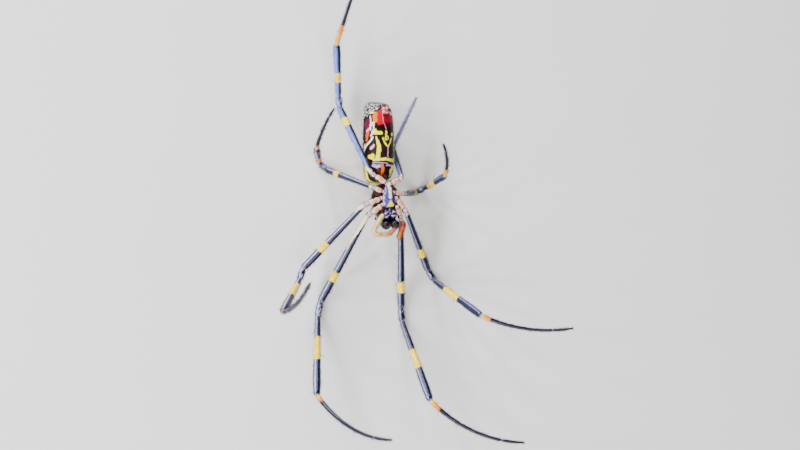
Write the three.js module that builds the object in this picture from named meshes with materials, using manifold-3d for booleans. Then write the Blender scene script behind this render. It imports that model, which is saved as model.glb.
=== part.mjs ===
// Golden silk orb weaver, adult female, life size, lying belly up on the floor on its knees.
// Millimetres. +Z up (the belly faces up), tail towards +Y, head towards -Y, its left side at -X.
import * as THREE from "three";
import { mergeVertices } from "three/addons/utils/BufferGeometryUtils.js";
import Module from "manifold-3d";

const wasm = await Module();
wasm.setup();

// Sizes of the living animal.
const GAP = 0.14; // between neighbouring pieces
const FLOOR = 0;
const KNEE_Z = 0.4; // height of a knee that rests on the floor

const ABDOMEN = {
  length: 14.9,
  halfWidth: 2.95,
  halfHeight: 3.0,
  centre: [-0.66, 7.18, 7.24],
  yaw: 1,
  frontRound: 4.0, // superellipse exponents of the two ends
  rearRound: 4.0,
  frontLean: 0.4, // the back leans over the carapace
  rearLean: 0.25, // and reaches past the spinnerets
};
const PEDICEL = { radius: 0.42, from: [0, -0.6, 9.45], to: [-0.12, 1.2, 8.9] };
const SPINNERETS = { y: 12.9, x: -0.35, radius: 0.85, sunk: 0.55, height: 0.95, coneRadius: 0.3 };
// The front of the body turns about the waist, so that the head points a little to its right.
const HEAD_TURN = { waistY: -0.75, yaw: 4.5 };
const CARAPACE = {
  length: 7.4,
  halfWidth: 2.75,
  headHalfWidth: 1.75,
  depth: 2.55,
  rimZ: 8.85,
  rearY: -0.5,
};
const STERNUM = { rearY: -0.75, frontY: -5.1, halfWidth: 1.3, topZ: 10.95, bottomZ: 9.0 };
const MOUTH = { rearY: -5.25, frontY: -6.9, halfWidth: 1.3, topZ: 10.9, bottomZ: 9.0 };
const CHELICERA = { radius: 0.84, root: [0.91, -7.35, 8.7], tip: [0.88, -8.5, 11.2] };
const FANG = { radius: 0.2, root: [1.3, -8.75, 11.42], tip: [0.35, -7.95, 11.72] };
const PALP_LEFT = [
  [-1.0, -6.35, 10.65],
  [-2.35, -8.05, 11.5],
  [-3.3, -9.5, 12.2],
  [-3.0, -10.05, 12.45],
  [-1.9, -10.1, 12.55],
  [-0.45, -9.95, 12.5],
  [0.35, -9.35, 12.4],
  [0.85, -8.85, 12.35],
];
const PALP_RIGHT = [
  [2.62, -7.5, 10.75],
  [2.7, -8.3, 11.45],
  [2.1, -9.4, 12.0],
  [1.45, -10.78, 12.2],
];
const EYE_RADIUS = 0.27;
const EYE_SOCKET = 0.37;
const EYES = {
  front_median: [0.42, -7.75, 7.15],
  rear_median: [0.5, -7.3, 6.62],
  front_side: [1.38, -7.35, 7.75],
  rear_side: [1.55, -6.85, 7.25],
};

const FOOT_RINGS = 13;
const SHARP_BEND = 0.35; // radians; past this a piece is cut clear of the one before it
const COLOR = {
  abdomen: 0x4a3a34,
  spinnerets: 0xb08a8a,
  pedicel: 0x5a3028,
  carapace: 0x2a2624,
  sternum: 0x8f8fb8,
  mouth: 0x241c38,
  chelicera: 0x120f1a,
  fang: 0x2a0e08,
  palp_left: 0xd9b26a,
  palp_right: 0xc8622c,
  eye: 0x050507,
  coxa: 0xd8b7a4,
  navy: 0x16183a,
  foot: 0x2a2338,
};
// Lengths of the four leg pairs: femur, patella, tibia, metatarsus with tarsus.
const LENGTHS = {
  1: { femur: 19.0, patella: 2.8, tibia: 17.4, foot: 19.8 },
  2: { femur: 16.1, patella: 2.4, tibia: 14.2, foot: 17.8 },
  3: { femur: 11.4, patella: 1.7, tibia: 7.0, foot: 9.2 },
  4: { femur: 15.0, patella: 2.2, tibia: 10.2, foot: 15.5 },
};
// Thickness of the leg pairs against the first.
const GIRTH = { 1: 1, 2: 0.96, 3: 0.82, 4: 0.94 };
// Thickness of each length of a leg of the first pair, as [radius, share of the length].
const LEG_RADII = {
  coxa: [[0.45, 0], [0.58, 0.3], [0.58, 0.6], [0.44, 0.72], [0.54, 0.86], [0.46, 1]],
  femur: [[0.4, 0], [0.5, 0.15], [0.56, 0.4], [0.66, 0.66], [0.72, 0.8], [0.68, 0.93], [0.6, 1]],
  patella: [[0.5, 0], [0.6, 0.4], [0.58, 0.75], [0.5, 1]],
  tibia: [[0.46, 0], [0.54, 0.12], [0.6, 0.35], [0.66, 0.6], [0.74, 0.85], [0.6, 0.96], [0.48, 1]],
  foot: [
    [0.36, 0],
    [0.42, 0.03],
    [0.4, 0.1],
    [0.34, 0.3],
    [0.3, 0.55],
    [0.27, 0.77],
    [0.27, 0.8],
    [0.25, 0.9],
    [0.14, 0.985],
    [0.06, 1],
  ],
};
// The same for a palp, a jaw as shares of its radius, and a fang.
const PALP_RADII = [[0.36, 0], [0.36, 0.2], [0.36, 0.5], [0.34, 0.6], [0.36, 0.8], [0.24, 0.96], [0.12, 1]];
const CHELICERA_SHAPE = [[0.75, 0], [1, 0.3], [1, 0.65], [0.8, 1]];
const FANG_SHAPE = [[1, 0], [0.9, 0.4], [0.6, 0.75], [0.2, 1]];

// Pose of each leg: the point where the coxa starts, the hip where the femur starts, the height
// of the knee, then [azimuth, elevation] in degrees of each length; the foot bends from its first
// direction to its second.
const POSE = {
  leg1_left: {
    coxa: [-1.1, -4.65, 10.15],
    hip: [-3.75, -6.65, 9.6],
    knee: KNEE_Z,
    femur: -110,
    patella: [-102, 4],
    tibia: [-104, 33],
    foot: [[-62, 34], [5, 66]],
  },
  leg1_right: {
    coxa: [1.96, -4.98, 10.15],
    hip: [3.0, -6.95, 9.6],
    knee: KNEE_Z,
    femur: -77,
    patella: [-88, 5],
    tibia: [-83, 33],
    foot: [[-48, 14], [-2, 12]],
  },
  leg2_left: {
    coxa: [-1.3, -3.4, 10.15],
    hip: [-4.4, -4.7, 9.8],
    knee: 4.37,
    femur: -130.5,
    patella: [-113, 19],
    tibia: [-139, 50],
    foot: [[115, 86], [98, 62]],
  },
  leg2_right: {
    coxa: [1.85, -3.34, 10.15],
    hip: [4.0, -5.85, 9.8],
    knee: KNEE_Z,
    femur: -51,
    patella: [-60, 4],
    tibia: [-56, 55],
    foot: [[-25, 16], [9, 14]],
  },
  leg3_left: {
    coxa: [-0.97, -2.12, 10.15],
    hip: [-3.0, -1.3, 9.8],
    knee: KNEE_Z,
    femur: 145.2,
    patella: [144, 3],
    tibia: [140, 59],
    foot: [[90, 38], [68, 42]],
  },
  leg3_right: {
    coxa: [1.38, -2.25, 10.15],
    hip: [3.5, -2.4, 9.8],
    knee: KNEE_Z,
    femur: 9.7,
    patella: [24, -1],
    tibia: [51, 68],
    foot: [[105, 55], [133, 37]],
  },
  leg4_left: {
    coxa: [-0.38, -0.58, 10.4],
    hip: [-3.23, 1.19, 10.3],
    knee: 3.0,
    femur: 105.3,
    patella: [96, 4],
    tibia: [103, 26],
    foot: [[101, 59], [83, 34]],
  },
  leg4_right: {
    coxa: [0.48, -0.66, 10.4],
    hip: [3.0, 0.5, 10.1],
    knee: KNEE_Z,
    femur: 89,
    patella: [161, 8],
    tibia: [-80.5, 2.5],
    foot: [[74, 24], [74, 32]],
  },
};

const V = (p) => new THREE.Vector3(...p);
const group = new THREE.Group();
group.name = "orb_weaver";

function material(color, roughness) {
  return new THREE.MeshStandardMaterial({ color, roughness, metalness: 0 });
}

function add(name, geometry, color, roughness = 0.35) {
  const mesh = new THREE.Mesh(geometry, material(color, roughness));
  mesh.name = name;
  group.add(mesh);
}

// Adds a piece of the front of the body, turned about the waist.
function addToHead(name, geometry, color, roughness) {
  geometry.translate(0, -HEAD_TURN.waistY, 0);
  geometry.rotateZ(THREE.MathUtils.degToRad(HEAD_TURN.yaw));
  geometry.translate(0, HEAD_TURN.waistY, 0);
  add(name, geometry, color, roughness);
}

function direction(azimuth, elevation) {
  const a = THREE.MathUtils.degToRad(azimuth);
  const e = THREE.MathUtils.degToRad(elevation);
  return new THREE.Vector3(Math.cos(e) * Math.cos(a), Math.cos(e) * Math.sin(a), Math.sin(e));
}

function mapVertices(geometry, f) {
  const p = geometry.attributes.position;
  const v = new THREE.Vector3();
  for (let i = 0; i < p.count; i++) {
    v.fromBufferAttribute(p, i);
    f(v);
    p.setXYZ(i, v.x, v.y, v.z);
  }
  return geometry;
}

// Cuts off what would reach under the floor, which leaves a small flat to rest on.
function flatten(geometry) {
  geometry.computeBoundingBox();
  if (geometry.boundingBox.min.z >= FLOOR) return geometry;
  const slab = new THREE.BoxGeometry(200, 200, 4).translate(0, 0, FLOOR - 2);
  return geometryOf(solidOf(geometry).subtract(solidOf(slab)));
}

function solidOf(geometry) {
  const plain = geometry.clone();
  plain.deleteAttribute("normal");
  plain.deleteAttribute("uv");
  const merged = mergeVertices(plain, 1e-4);
  return new wasm.Manifold(
    new wasm.Mesh({
      numProp: 3,
      vertProperties: new Float32Array(merged.attributes.position.array),
      triVerts: new Uint32Array(merged.index.array),
    }),
  );
}

// The largest closed surface of a solid, as a geometry.
function geometryOf(solid) {
  const parts = solid.decompose().sort((a, b) => b.volume() - a.volume());
  const mesh = parts[0].getMesh();
  const geometry = new THREE.BufferGeometry();
  geometry.setAttribute("position", new THREE.BufferAttribute(mesh.vertProperties, 3));
  geometry.setIndex(new THREE.BufferAttribute(mesh.triVerts, 1));
  return geometry;
}

// A limb: a lathe turned from [radius, share of length] pairs, bent along a curve.
function limb(curve, profile, sides = 10) {
  const points = profile.map(([r, t]) => new THREE.Vector2(r, t));
  const geometry = new THREE.LatheGeometry(points, sides);
  const start = curve.getPointAt(0);
  const startDir = curve.getTangentAt(0);
  const end = curve.getPointAt(1);
  const endDir = curve.getTangentAt(1);
  const length = curve.getLength();
  let side = new THREE.Vector3(0, 0, 1).cross(startDir);
  if (side.length() < 0.05) side = new THREE.Vector3(1, 0, 0);
  side.normalize();
  return mapVertices(geometry, (v) => {
    const t = THREE.MathUtils.clamp(v.y, 0, 1);
    const along = t <= 0 ? startDir : t >= 1 ? endDir : curve.getTangentAt(t);
    const at = t <= 0 ? start : t >= 1 ? end : curve.getPointAt(t);
    const beyond = (v.y - t) * length;
    const across = side.clone().addScaledVector(along, -side.dot(along)).normalize();
    const up = along.clone().cross(across);
    const r = v.clone();
    v.copy(at).addScaledVector(along, beyond);
    v.addScaledVector(across, -r.x).addScaledVector(up, r.z);
  });
}

// Profile with rounded ends: radii given at even or chosen shares, both ends closed by a dome.
function rounded(radii, length, domeA = 0.5, domeB = 0.5, stepsOfDome = 1) {
  const first = radii[0];
  const last = radii[radii.length - 1];
  const profile = [[0, 0]];
  for (let i = 1; i <= stepsOfDome; i++) {
    const a = (i / (stepsOfDome + 1)) * (Math.PI / 2);
    profile.push([first[0] * Math.sin(a), (domeA * first[0] * (1 - Math.cos(a))) / length]);
  }
  const a0 = (domeA * first[0]) / length;
  const b0 = (domeB * last[0]) / length;
  for (const [r, t] of radii) profile.push([r, a0 + t * (1 - a0 - b0)]);
  for (let i = stepsOfDome; i >= 1; i--) {
    const a = (i / (stepsOfDome + 1)) * (Math.PI / 2);
    profile.push([last[0] * Math.sin(a), 1 - (domeB * last[0] * (1 - Math.cos(a))) / length]);
  }
  profile.push([0, 1]);
  return profile;
}

// Share of the full girth at a share t of the length, 0 at the front and 1 at the tail.
function girth(t) {
  const n = t < 0.5 ? ABDOMEN.frontRound : ABDOMEN.rearRound;
  return Math.pow(Math.max(0, 1 - Math.pow(Math.abs(2 * t - 1), n)), 1 / n);
}

// How far a point slides along the body for each millimetre that it lies above the middle.
function lean(t) {
  return ABDOMEN.frontLean * (1 - t) * (1 - t) - ABDOMEN.rearLean * t * t;
}

function abdomenPoint(t, angle) {
  const x = ABDOMEN.halfWidth * girth(t) * Math.cos(angle);
  const z = ABDOMEN.halfHeight * girth(t) * Math.sin(angle);
  const y = (t - 0.5) * ABDOMEN.length + lean(t) * z;
  const yaw = THREE.MathUtils.degToRad(ABDOMEN.yaw);
  return new THREE.Vector3(
    ABDOMEN.centre[0] + x * Math.cos(yaw) - y * Math.sin(yaw),
    ABDOMEN.centre[1] + y * Math.cos(yaw) + x * Math.sin(yaw),
    ABDOMEN.centre[2] + z,
  );
}

function makeAbdomen() {
  const rings = 24;
  const sides = 32;
  const geometry = new THREE.SphereGeometry(1, sides, rings);
  geometry.rotateX(Math.PI / 2);
  return mapVertices(geometry, (v) => {
    const polar = Math.acos(THREE.MathUtils.clamp(v.y, -1, 1));
    const t = (1 - Math.cos(Math.PI - polar)) / 2;
    const angle = Math.atan2(v.z, v.x);
    v.copy(abdomenPoint(t, angle));
  });
}

// Height of the middle of the belly at y.
function bellyZ(y) {
  let height = 0;
  let t = 0.5;
  for (let i = 0; i < 8; i++) {
    t = THREE.MathUtils.clamp((y - ABDOMEN.centre[1] - lean(t) * height) / ABDOMEN.length + 0.5, 0, 1);
    height = ABDOMEN.halfHeight * girth(t);
  }
  return ABDOMEN.centre[2] + height;
}

function makeSpinnerets() {
  const { x, y, radius, sunk, height, coneRadius } = SPINNERETS;
  const skin = bellyZ(y);
  const bottom = skin - sunk;
  const profile = [
    [0, bottom],
    [radius, bottom],
    [radius, skin + 0.15],
    [radius * 0.8, skin + 0.45],
    [0, skin + 0.5],
  ].map(([r, h]) => new THREE.Vector2(r, h));
  const base = new THREE.LatheGeometry(profile, 20).rotateX(Math.PI / 2);
  base.translate(x, y, 0);
  let solid = solidOf(base);
  for (const [sx, sy] of [[-1, -1], [1, -1], [-1, 1], [1, 1]]) {
    const cone = new THREE.CylinderGeometry(coneRadius * 0.55, coneRadius, height, 10);
    cone.rotateX(Math.PI / 2);
    cone.rotateX(sy * -0.25);
    cone.rotateY(sx * -0.25);
    cone.translate(x + sx * 0.33, y + sy * 0.33, skin + height / 2);
    solid = solid.add(solidOf(cone));
  }
  return solid;
}

// What is cut from the abdomen to seat the spinnerets.
function spinneretPocket() {
  const { x, y, radius, sunk } = SPINNERETS;
  const depth = 6;
  const cutter = new THREE.CylinderGeometry(radius + GAP, radius + GAP, depth, 20);
  cutter.rotateX(Math.PI / 2);
  cutter.translate(x, y, bellyZ(y) - sunk - GAP + depth / 2);
  return solidOf(cutter);
}

function makePedicel(grow = 0) {
  const r = PEDICEL.radius + grow;
  const curve = between(V(PEDICEL.from), V(PEDICEL.to), -grow);
  const table = [[r * 0.9, 0], [r, 0.5], [r * 0.9, 1]];
  return limb(curve, rounded(table, curve.getLength(), 0.5, 0.5, 2), 12);
}

function makeCarapace() {
  const { length, halfWidth, headHalfWidth, depth, rimZ, rearY } = CARAPACE;
  const geometry = new THREE.SphereGeometry(1, 28, 20);
  geometry.rotateX(Math.PI / 2);
  return mapVertices(geometry, (v) => {
    const s = (1 - v.y) / 2; // 0 at the rear, 1 at the front
    const thorax = Math.exp(-Math.pow((s - 0.38) / 0.36, 2));
    const width = headHalfWidth + (halfWidth - headHalfWidth) * thorax;
    const ring = Math.pow(Math.max(0, 1 - Math.pow(Math.abs(v.y), 3.2)), 1 / 3.2);
    const r = Math.hypot(v.x, v.z) || 1;
    const cx = v.x / r;
    const cz = v.z / r;
    const end = r < 1e-6 ? 0 : 1;
    const x = cx * width * ring * end;
    const head = 0.86 + 0.18 * THREE.MathUtils.smoothstep(s, 0.45, 0.8);
    const down = depth * head * Math.max(0, -cz);
    v.set(x, rearY - s * length, rimZ - down * ring * end);
  });
}

function plate(outline, bottomZ, topZ) {
  const shape = new THREE.Shape(outline.map(([x, y]) => new THREE.Vector2(x, y)));
  const geometry = new THREE.ExtrudeGeometry(shape, { depth: topZ - bottomZ, bevelEnabled: false });
  return solidOf(geometry.translate(0, 0, bottomZ));
}

function makeSternum() {
  const { rearY, frontY, halfWidth, topZ, bottomZ } = STERNUM;
  const length = rearY - frontY;
  const right = [];
  const steps = 8;
  for (let i = 0; i <= steps; i++) {
    const s = i / steps; // 0 at the rear tip
    const swell = 0.22 + 0.78 * Math.sin(Math.min(1, s * 1.35) * (Math.PI / 2));
    const corner = s > 0.9 ? 0.86 : 1;
    right.push([halfWidth * swell * corner, rearY - s * length]);
  }
  const outline = [...right, ...right.map(([x, y]) => [-x, y]).reverse()].reverse();
  const cap = new THREE.SphereGeometry(1, 20, 12);
  cap.scale(halfWidth * 0.98, length * 0.5, 0.5);
  cap.translate(0, (rearY + frontY) / 2, topZ - 0.3);
  const dome = solidOf(cap).intersect(plate(outline, bottomZ, topZ + 2));
  return plate(outline, bottomZ, topZ - 0.25).add(dome);
}

function makeMouthparts() {
  const { rearY, frontY, halfWidth, topZ, bottomZ } = MOUTH;
  const length = rearY - frontY;
  const midY = (rearY + frontY) / 2;
  let solid = null;
  for (const side of [-1, 1]) {
    const lobe = new THREE.SphereGeometry(1, 16, 12);
    lobe.scale(halfWidth * 0.5, length * 0.5, (topZ - bottomZ) / 2);
    lobe.translate(side * halfWidth * 0.5, midY, (topZ + bottomZ) / 2);
    const made = solidOf(lobe);
    solid = solid ? solid.add(made) : made;
  }
  const labium = new THREE.SphereGeometry(1, 14, 10);
  labium.scale(0.5, 0.62, 0.75);
  labium.translate(0, rearY - 0.62, topZ - 0.62);
  return solid.add(solidOf(labium));
}

function legRadii(piece, pair) {
  return LEG_RADII[piece].map(([r, t]) => [r * GIRTH[pair], t]);
}

// The joints of a leg, from its hip out.
function joints(name) {
  const pose = POSE[name];
  const size = LENGTHS[name[3]];
  const hip = V(pose.hip);
  const drop = THREE.MathUtils.radToDeg(Math.asin((pose.knee - hip.z) / size.femur));
  const knee = hip.clone().addScaledVector(direction(pose.femur, drop), size.femur);
  const patellaEnd = knee.clone().addScaledVector(direction(...pose.patella), size.patella);
  const ankle = patellaEnd.clone().addScaledVector(direction(...pose.tibia), size.tibia);
  const steps = 12;
  const first = direction(...pose.foot[0]);
  const last = direction(...pose.foot[1]);
  const foot = [ankle.clone()];
  for (let i = 0; i < steps; i++) {
    const d = first.clone().lerp(last, (i + 0.5) / steps).normalize();
    foot.push(foot[i].clone().addScaledVector(d, size.foot / steps));
  }
  return { coxa: V(pose.coxa), hip, knee, patellaEnd, ankle, foot };
}

// A straight length between two joints, shortened by half a gap at each end, or made longer where
// the gap is negative.
function between(a, b, gap = GAP / 2) {
  const d = b.clone().sub(a).normalize();
  return new THREE.LineCurve3(a.clone().addScaledVector(d, gap), b.clone().addScaledVector(d, -gap));
}

// Radii between those of a table, at even steps along a length.
function sampled(table, steps) {
  const made = [];
  for (let i = 0; i <= steps; i++) {
    const t = i / steps;
    const k = Math.max(1, table.findIndex(([, s]) => s >= t));
    const [r0, t0] = table[k - 1];
    const [r1, t1] = table[k];
    made.push([THREE.MathUtils.lerp(r0, r1, (t - t0) / (t1 - t0)), t]);
  }
  return made;
}

function straightPiece(a, b, table, grow = 0) {
  const curve = between(a, b, GAP / 2 - grow);
  const grown = table.map(([r, t]) => [r + grow, t]);
  return limb(curve, rounded(grown, curve.getLength(), 0.35, 0.35));
}

function footCurve(points) {
  const d = points[1].clone().sub(points[0]).normalize();
  const bent = [points[0].clone().addScaledVector(d, GAP / 2), ...points.slice(1)];
  const curve = new THREE.CatmullRomCurve3(bent);
  curve.arcLengthDivisions = 400;
  return curve;
}

function makeLeg(name) {
  const j = joints(name);
  const chain = [
    ["coxa", j.coxa, j.hip, COLOR.coxa],
    ["femur", j.hip, j.knee, COLOR.navy],
    ["patella", j.knee, j.patellaEnd, COLOR.navy],
    ["tibia", j.patellaEnd, j.ankle, COLOR.navy],
    ["foot", j.ankle, j.foot[1], COLOR.foot],
  ];
  let before = null;
  for (const [piece, a, b, color] of chain) {
    const radii = legRadii(piece, name[3]);
    let geometry;
    if (piece === "foot") {
      const curve = footCurve(j.foot);
      const table = rounded(sampled(radii, FOOT_RINGS), curve.getLength(), 0.35, 0.35);
      geometry = limb(curve, table, 8);
    } else {
      geometry = straightPiece(a, b, radii);
    }
    geometry = flatten(geometry);
    const along = b.clone().sub(a).normalize();
    if (before && before.along.angleTo(along) > SHARP_BEND) {
      const cut = solidOf(geometry).subtract(solidOf(before.grown));
      geometry = geometryOf(cut);
    }
    add(name + "_" + piece, geometry, color);
    if (piece !== "foot") before = { along, grown: straightPiece(a, b, radii, GAP) };
  }
}

function bentLimb(points, table, sides = 10) {
  const curve = new THREE.CatmullRomCurve3(points.map(V), false, "centripetal");
  curve.arcLengthDivisions = 300;
  return limb(curve, rounded(table, curve.getLength(), 0.6, 0.6), sides);
}

function makeChelicera(side, grow = 0) {
  const { radius, root, tip } = CHELICERA;
  const from = new THREE.Vector3(side * root[0], root[1], root[2]);
  const to = new THREE.Vector3(side * tip[0], tip[1], tip[2]);
  const table = CHELICERA_SHAPE.map(([r, t]) => [r * radius + grow, t]);
  const curve = between(from, to, -grow);
  return limb(curve, rounded(table, curve.getLength(), 0.5, 0.7, 2), 14);
}

// A fang bends over the end of its jaw.
function makeFang(side) {
  const { radius, root, tip } = FANG;
  const middle = [(root[0] + tip[0]) / 2, (root[1] + tip[1]) / 2 - 0.12, tip[2] + 0.12];
  const points = [root, middle, tip].map(([x, y, z]) => [side * x, y, z]);
  return bentLimb(points, FANG_SHAPE.map(([r, t]) => [r * radius, t]), 8);
}

function makeMouthLimbs() {
  for (const [label, side] of [["left", -1], ["right", 1]]) {
    addToHead("chelicera_" + label, makeChelicera(side), COLOR.chelicera, 0.15);
    addToHead("fang_" + label, makeFang(side), COLOR.fang, 0.2);
  }
  const table = sampled(PALP_RADII, 14);
  add("palp_left", bentLimb(PALP_LEFT, table), COLOR.palp_left);
  add("palp_right", bentLimb(PALP_RIGHT, table), COLOR.palp_right);
}

// Adds the eyes, and returns the carapace with a socket cut round each.
function makeEyes(carapace) {
  let solid = carapace;
  for (const [name, [x, y, z]] of Object.entries(EYES)) {
    for (const [label, side] of [["left", -1], ["right", 1]]) {
      const eye = new THREE.SphereGeometry(EYE_RADIUS, 12, 8);
      eye.translate(side * x, y, z);
      addToHead("eye_" + name + "_" + label, eye, COLOR.eye, 0.05);
      const socket = new THREE.SphereGeometry(EYE_SOCKET, 12, 8);
      socket.translate(side * x, y, z);
      solid = solid.subtract(solidOf(socket));
    }
  }
  return solid;
}

const abdomen = solidOf(makeAbdomen()).subtract(spinneretPocket()).subtract(solidOf(makePedicel(GAP)));
add("abdomen", geometryOf(abdomen), COLOR.abdomen, 0.45);
add("spinnerets", geometryOf(makeSpinnerets()), COLOR.spinnerets, 0.5);
add("pedicel", makePedicel(), COLOR.pedicel);
const carapace = solidOf(makeCarapace())
  .subtract(solidOf(makeChelicera(-1, GAP)))
  .subtract(solidOf(makeChelicera(1, GAP)));
addToHead("carapace", geometryOf(makeEyes(carapace)), COLOR.carapace, 0.6);
addToHead("sternum", geometryOf(makeSternum()), COLOR.sternum, 0.3);
addToHead("mouthparts", geometryOf(makeMouthparts()), COLOR.mouth, 0.2);
makeMouthLimbs();
for (const name of Object.keys(POSE)) makeLeg(name);

// The origin is the middle of the footprint.
const box = new THREE.Box3().setFromObject(group);
const middle = box.getCenter(new THREE.Vector3());
for (const mesh of group.children) mesh.position.set(-middle.x, -middle.y, 0);

export default group;
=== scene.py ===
"""Looks of a golden silk orb weaver that lies belly up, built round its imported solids.

Sizes are in millimetres in the body frame: +X is the spider's right, +Y its tail and +Z its belly.
place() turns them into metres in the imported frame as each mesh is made.
"""

import math

import bpy
import numpy as np
from mathutils import Matrix, Vector


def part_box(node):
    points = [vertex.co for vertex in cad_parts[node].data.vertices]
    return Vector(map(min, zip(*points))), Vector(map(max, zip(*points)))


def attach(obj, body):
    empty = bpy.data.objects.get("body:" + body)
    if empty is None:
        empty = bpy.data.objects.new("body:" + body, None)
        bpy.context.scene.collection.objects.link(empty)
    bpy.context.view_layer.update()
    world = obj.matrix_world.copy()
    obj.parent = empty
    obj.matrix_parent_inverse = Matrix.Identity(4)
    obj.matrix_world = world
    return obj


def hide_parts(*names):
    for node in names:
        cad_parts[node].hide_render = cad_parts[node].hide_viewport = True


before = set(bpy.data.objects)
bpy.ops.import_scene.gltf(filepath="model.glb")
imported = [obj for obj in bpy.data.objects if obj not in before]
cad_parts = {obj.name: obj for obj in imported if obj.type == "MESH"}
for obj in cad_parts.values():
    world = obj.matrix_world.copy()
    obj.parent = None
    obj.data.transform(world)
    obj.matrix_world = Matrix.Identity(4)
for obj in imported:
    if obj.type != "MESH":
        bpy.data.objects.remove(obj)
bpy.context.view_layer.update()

MM = 0.001
TURN = 2 * math.pi
BODY = "root"
SIDES = (("left", -1), ("right", 1))
TUBE_SIDES = 28
FLOOR_CLEAR = 0.004
HAIR_CLEAR = 0.08

# The front of the body is turned about the waist, towards the spider's right.
WAIST_Y = -0.75
HEAD_YAW = math.radians(4.5)

STERNUM_REAR_Y = -0.75
STERNUM_FRONT_Y = -5.1
STERNUM_HALF_WIDTH = 1.3
STERNUM_RIM_Z = 10.25
STERNUM_RISE = 0.86
STERNUM_DEPTH = 0.7
FLESH_REAR_Y = -0.35
FLESH_LENGTH = 6.9
FLESH_Z = 9.3
FLESH_HALF_HEIGHT = 0.85
KNEE_Z = 0.4

# Lengths of the four leg pairs: femur, patella, tibia, metatarsus with tarsus.
LENGTHS = {
    1: (19.0, 2.8, 17.4, 19.8),
    2: (16.1, 2.4, 14.2, 17.8),
    3: (11.4, 1.7, 7.0, 9.2),
    4: (15.0, 2.2, 10.2, 15.5),
}
GIRTH = {1: 1.0, 2: 0.96, 3: 0.82, 4: 0.94}

# Coxa start, hip, height of the knee, azimuth of the femur, then (azimuth, elevation) in degrees
# of the patella, the tibia and the foot's first and last direction.
POSE = {
    "leg1_left": ((-1.1, -4.65, 10.15), (-3.75, -6.65, 9.6), KNEE_Z, -110, (-102, 4), (-104, 33),
                  (-62, 34), (5, 66)),
    "leg1_right": ((1.96, -4.98, 10.15), (3.0, -6.95, 9.6), KNEE_Z, -77, (-88, 5), (-83, 33),
                   (-48, 14), (-2, 12)),
    "leg2_left": ((-1.3, -3.4, 10.15), (-4.4, -4.7, 9.8), 4.37, -130.5, (-113, 19), (-139, 50),
                  (115, 86), (98, 62)),
    "leg2_right": ((1.85, -3.34, 10.15), (4.0, -5.85, 9.8), KNEE_Z, -51, (-60, 4), (-56, 55),
                   (-25, 16), (9, 14)),
    "leg3_left": ((-0.97, -2.12, 10.15), (-3.0, -1.3, 9.8), KNEE_Z, 145.2, (144, 3), (140, 59),
                  (90, 38), (68, 42)),
    "leg3_right": ((1.38, -2.25, 10.15), (3.5, -2.4, 9.8), KNEE_Z, 9.7, (24, -1), (51, 68),
                   (105, 55), (133, 37)),
    "leg4_left": ((-0.38, -0.58, 10.4), (-3.23, 1.19, 10.3), 3.0, 105.3, (96, 4), (103, 26),
                  (101, 59), (83, 34)),
    "leg4_right": ((0.48, -0.66, 10.4), (3.0, 0.5, 10.1), KNEE_Z, 89, (161, 8), (-80.5, 2.5),
                   (74, 24), (74, 32)),
}

# Radius against share of the length, for a leg of the first pair.
COXA_SHAPE = ((0.44, 0), (0.58, 0.14), (0.62, 0.38), (0.56, 0.62), (0.42, 0.7), (0.5, 0.79),
              (0.54, 0.9), (0.44, 1))
FEMUR_SHAPE = ((0.4, 0), (0.47, 0.08), (0.51, 0.2), (0.57, 0.42), (0.66, 0.66), (0.72, 0.82),
               (0.68, 0.94), (0.58, 1))
PATELLA_SHAPE = ((0.52, 0), (0.62, 0.28), (0.61, 0.7), (0.5, 1))
TIBIA_SHAPE = ((0.46, 0), (0.54, 0.09), (0.6, 0.33), (0.66, 0.6), (0.74, 0.85), (0.63, 0.96), (0.48, 1))
FOOT_SHAPE = ((0.38, 0), (0.42, 0.03), (0.4, 0.1), (0.34, 0.3), (0.3, 0.55), (0.27, 0.75), (0.21, 0.775),
              (0.26, 0.8), (0.25, 0.9), (0.14, 0.985), (0.06, 1))
TARSUS_SHARE = 0.775
TROCHANTER_SHARE = 0.7

# Shares of the femur, tibia and foot that are ringed with yellow or orange.
RINGS = {
    "leg1_left": ((0.638, 0.751), (0.278, 0.565), 0.077),
    "leg1_right": ((0.702, 0.82), (0.369, 0.607), 0.12),
    "leg2_left": ((0.597, 0.727), (0.187, 0.522), 0.06),
    "leg2_right": ((0.608, 0.75), (0.246, 0.533), 0.102),
    "leg3_left": ((0.7, 0.8), (0.26, 0.5), 0.09),
    "leg3_right": ((0.7, 0.8), (0.224, 0.538), 0.23),
    "leg4_left": ((0.72, 0.83), (0.282, 0.46), 0.34),
    "leg4_right": ((0.72, 0.83), (0.282, 0.46), 0.2),
}
# Share of each femur that is cream before it darkens.
PLAIN_CREAM_SHARE = 0.03
CREAM_SHARE = {"leg1_left": 0.4, "leg2_left": 0.13, "leg4_left": 0.1}

# Each leg has a painted sky reflection (a broad blue bloom) and a painted highlight (a narrow pale line)
# on the side that faces the camera and the picture's upper left: where the line lies across the leg,
# its width, and the strength of both.
TO_CAMERA = (-0.37, -0.05, 0.93)
UPPER_LEFT = np.array([-0.5, 0.8, 0])
HIGHLIGHT_AT = 0.45
HIGHLIGHT_WIDTH = 0.14
PLAIN_SKY_REFLECTION = 0.06
PLAIN_PAINTED_HIGHLIGHT = 0.2
SKY_REFLECTION = {"leg4_left": 0.7, "leg4_right": 0.25, "leg3_left": 0.1}
PAINTED_HIGHLIGHT = {"leg1_left": 0.95, "leg2_left": 0.9, "leg3_left": 0.85, "leg1_right": 0.6, "leg2_right": 0.4}

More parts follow.
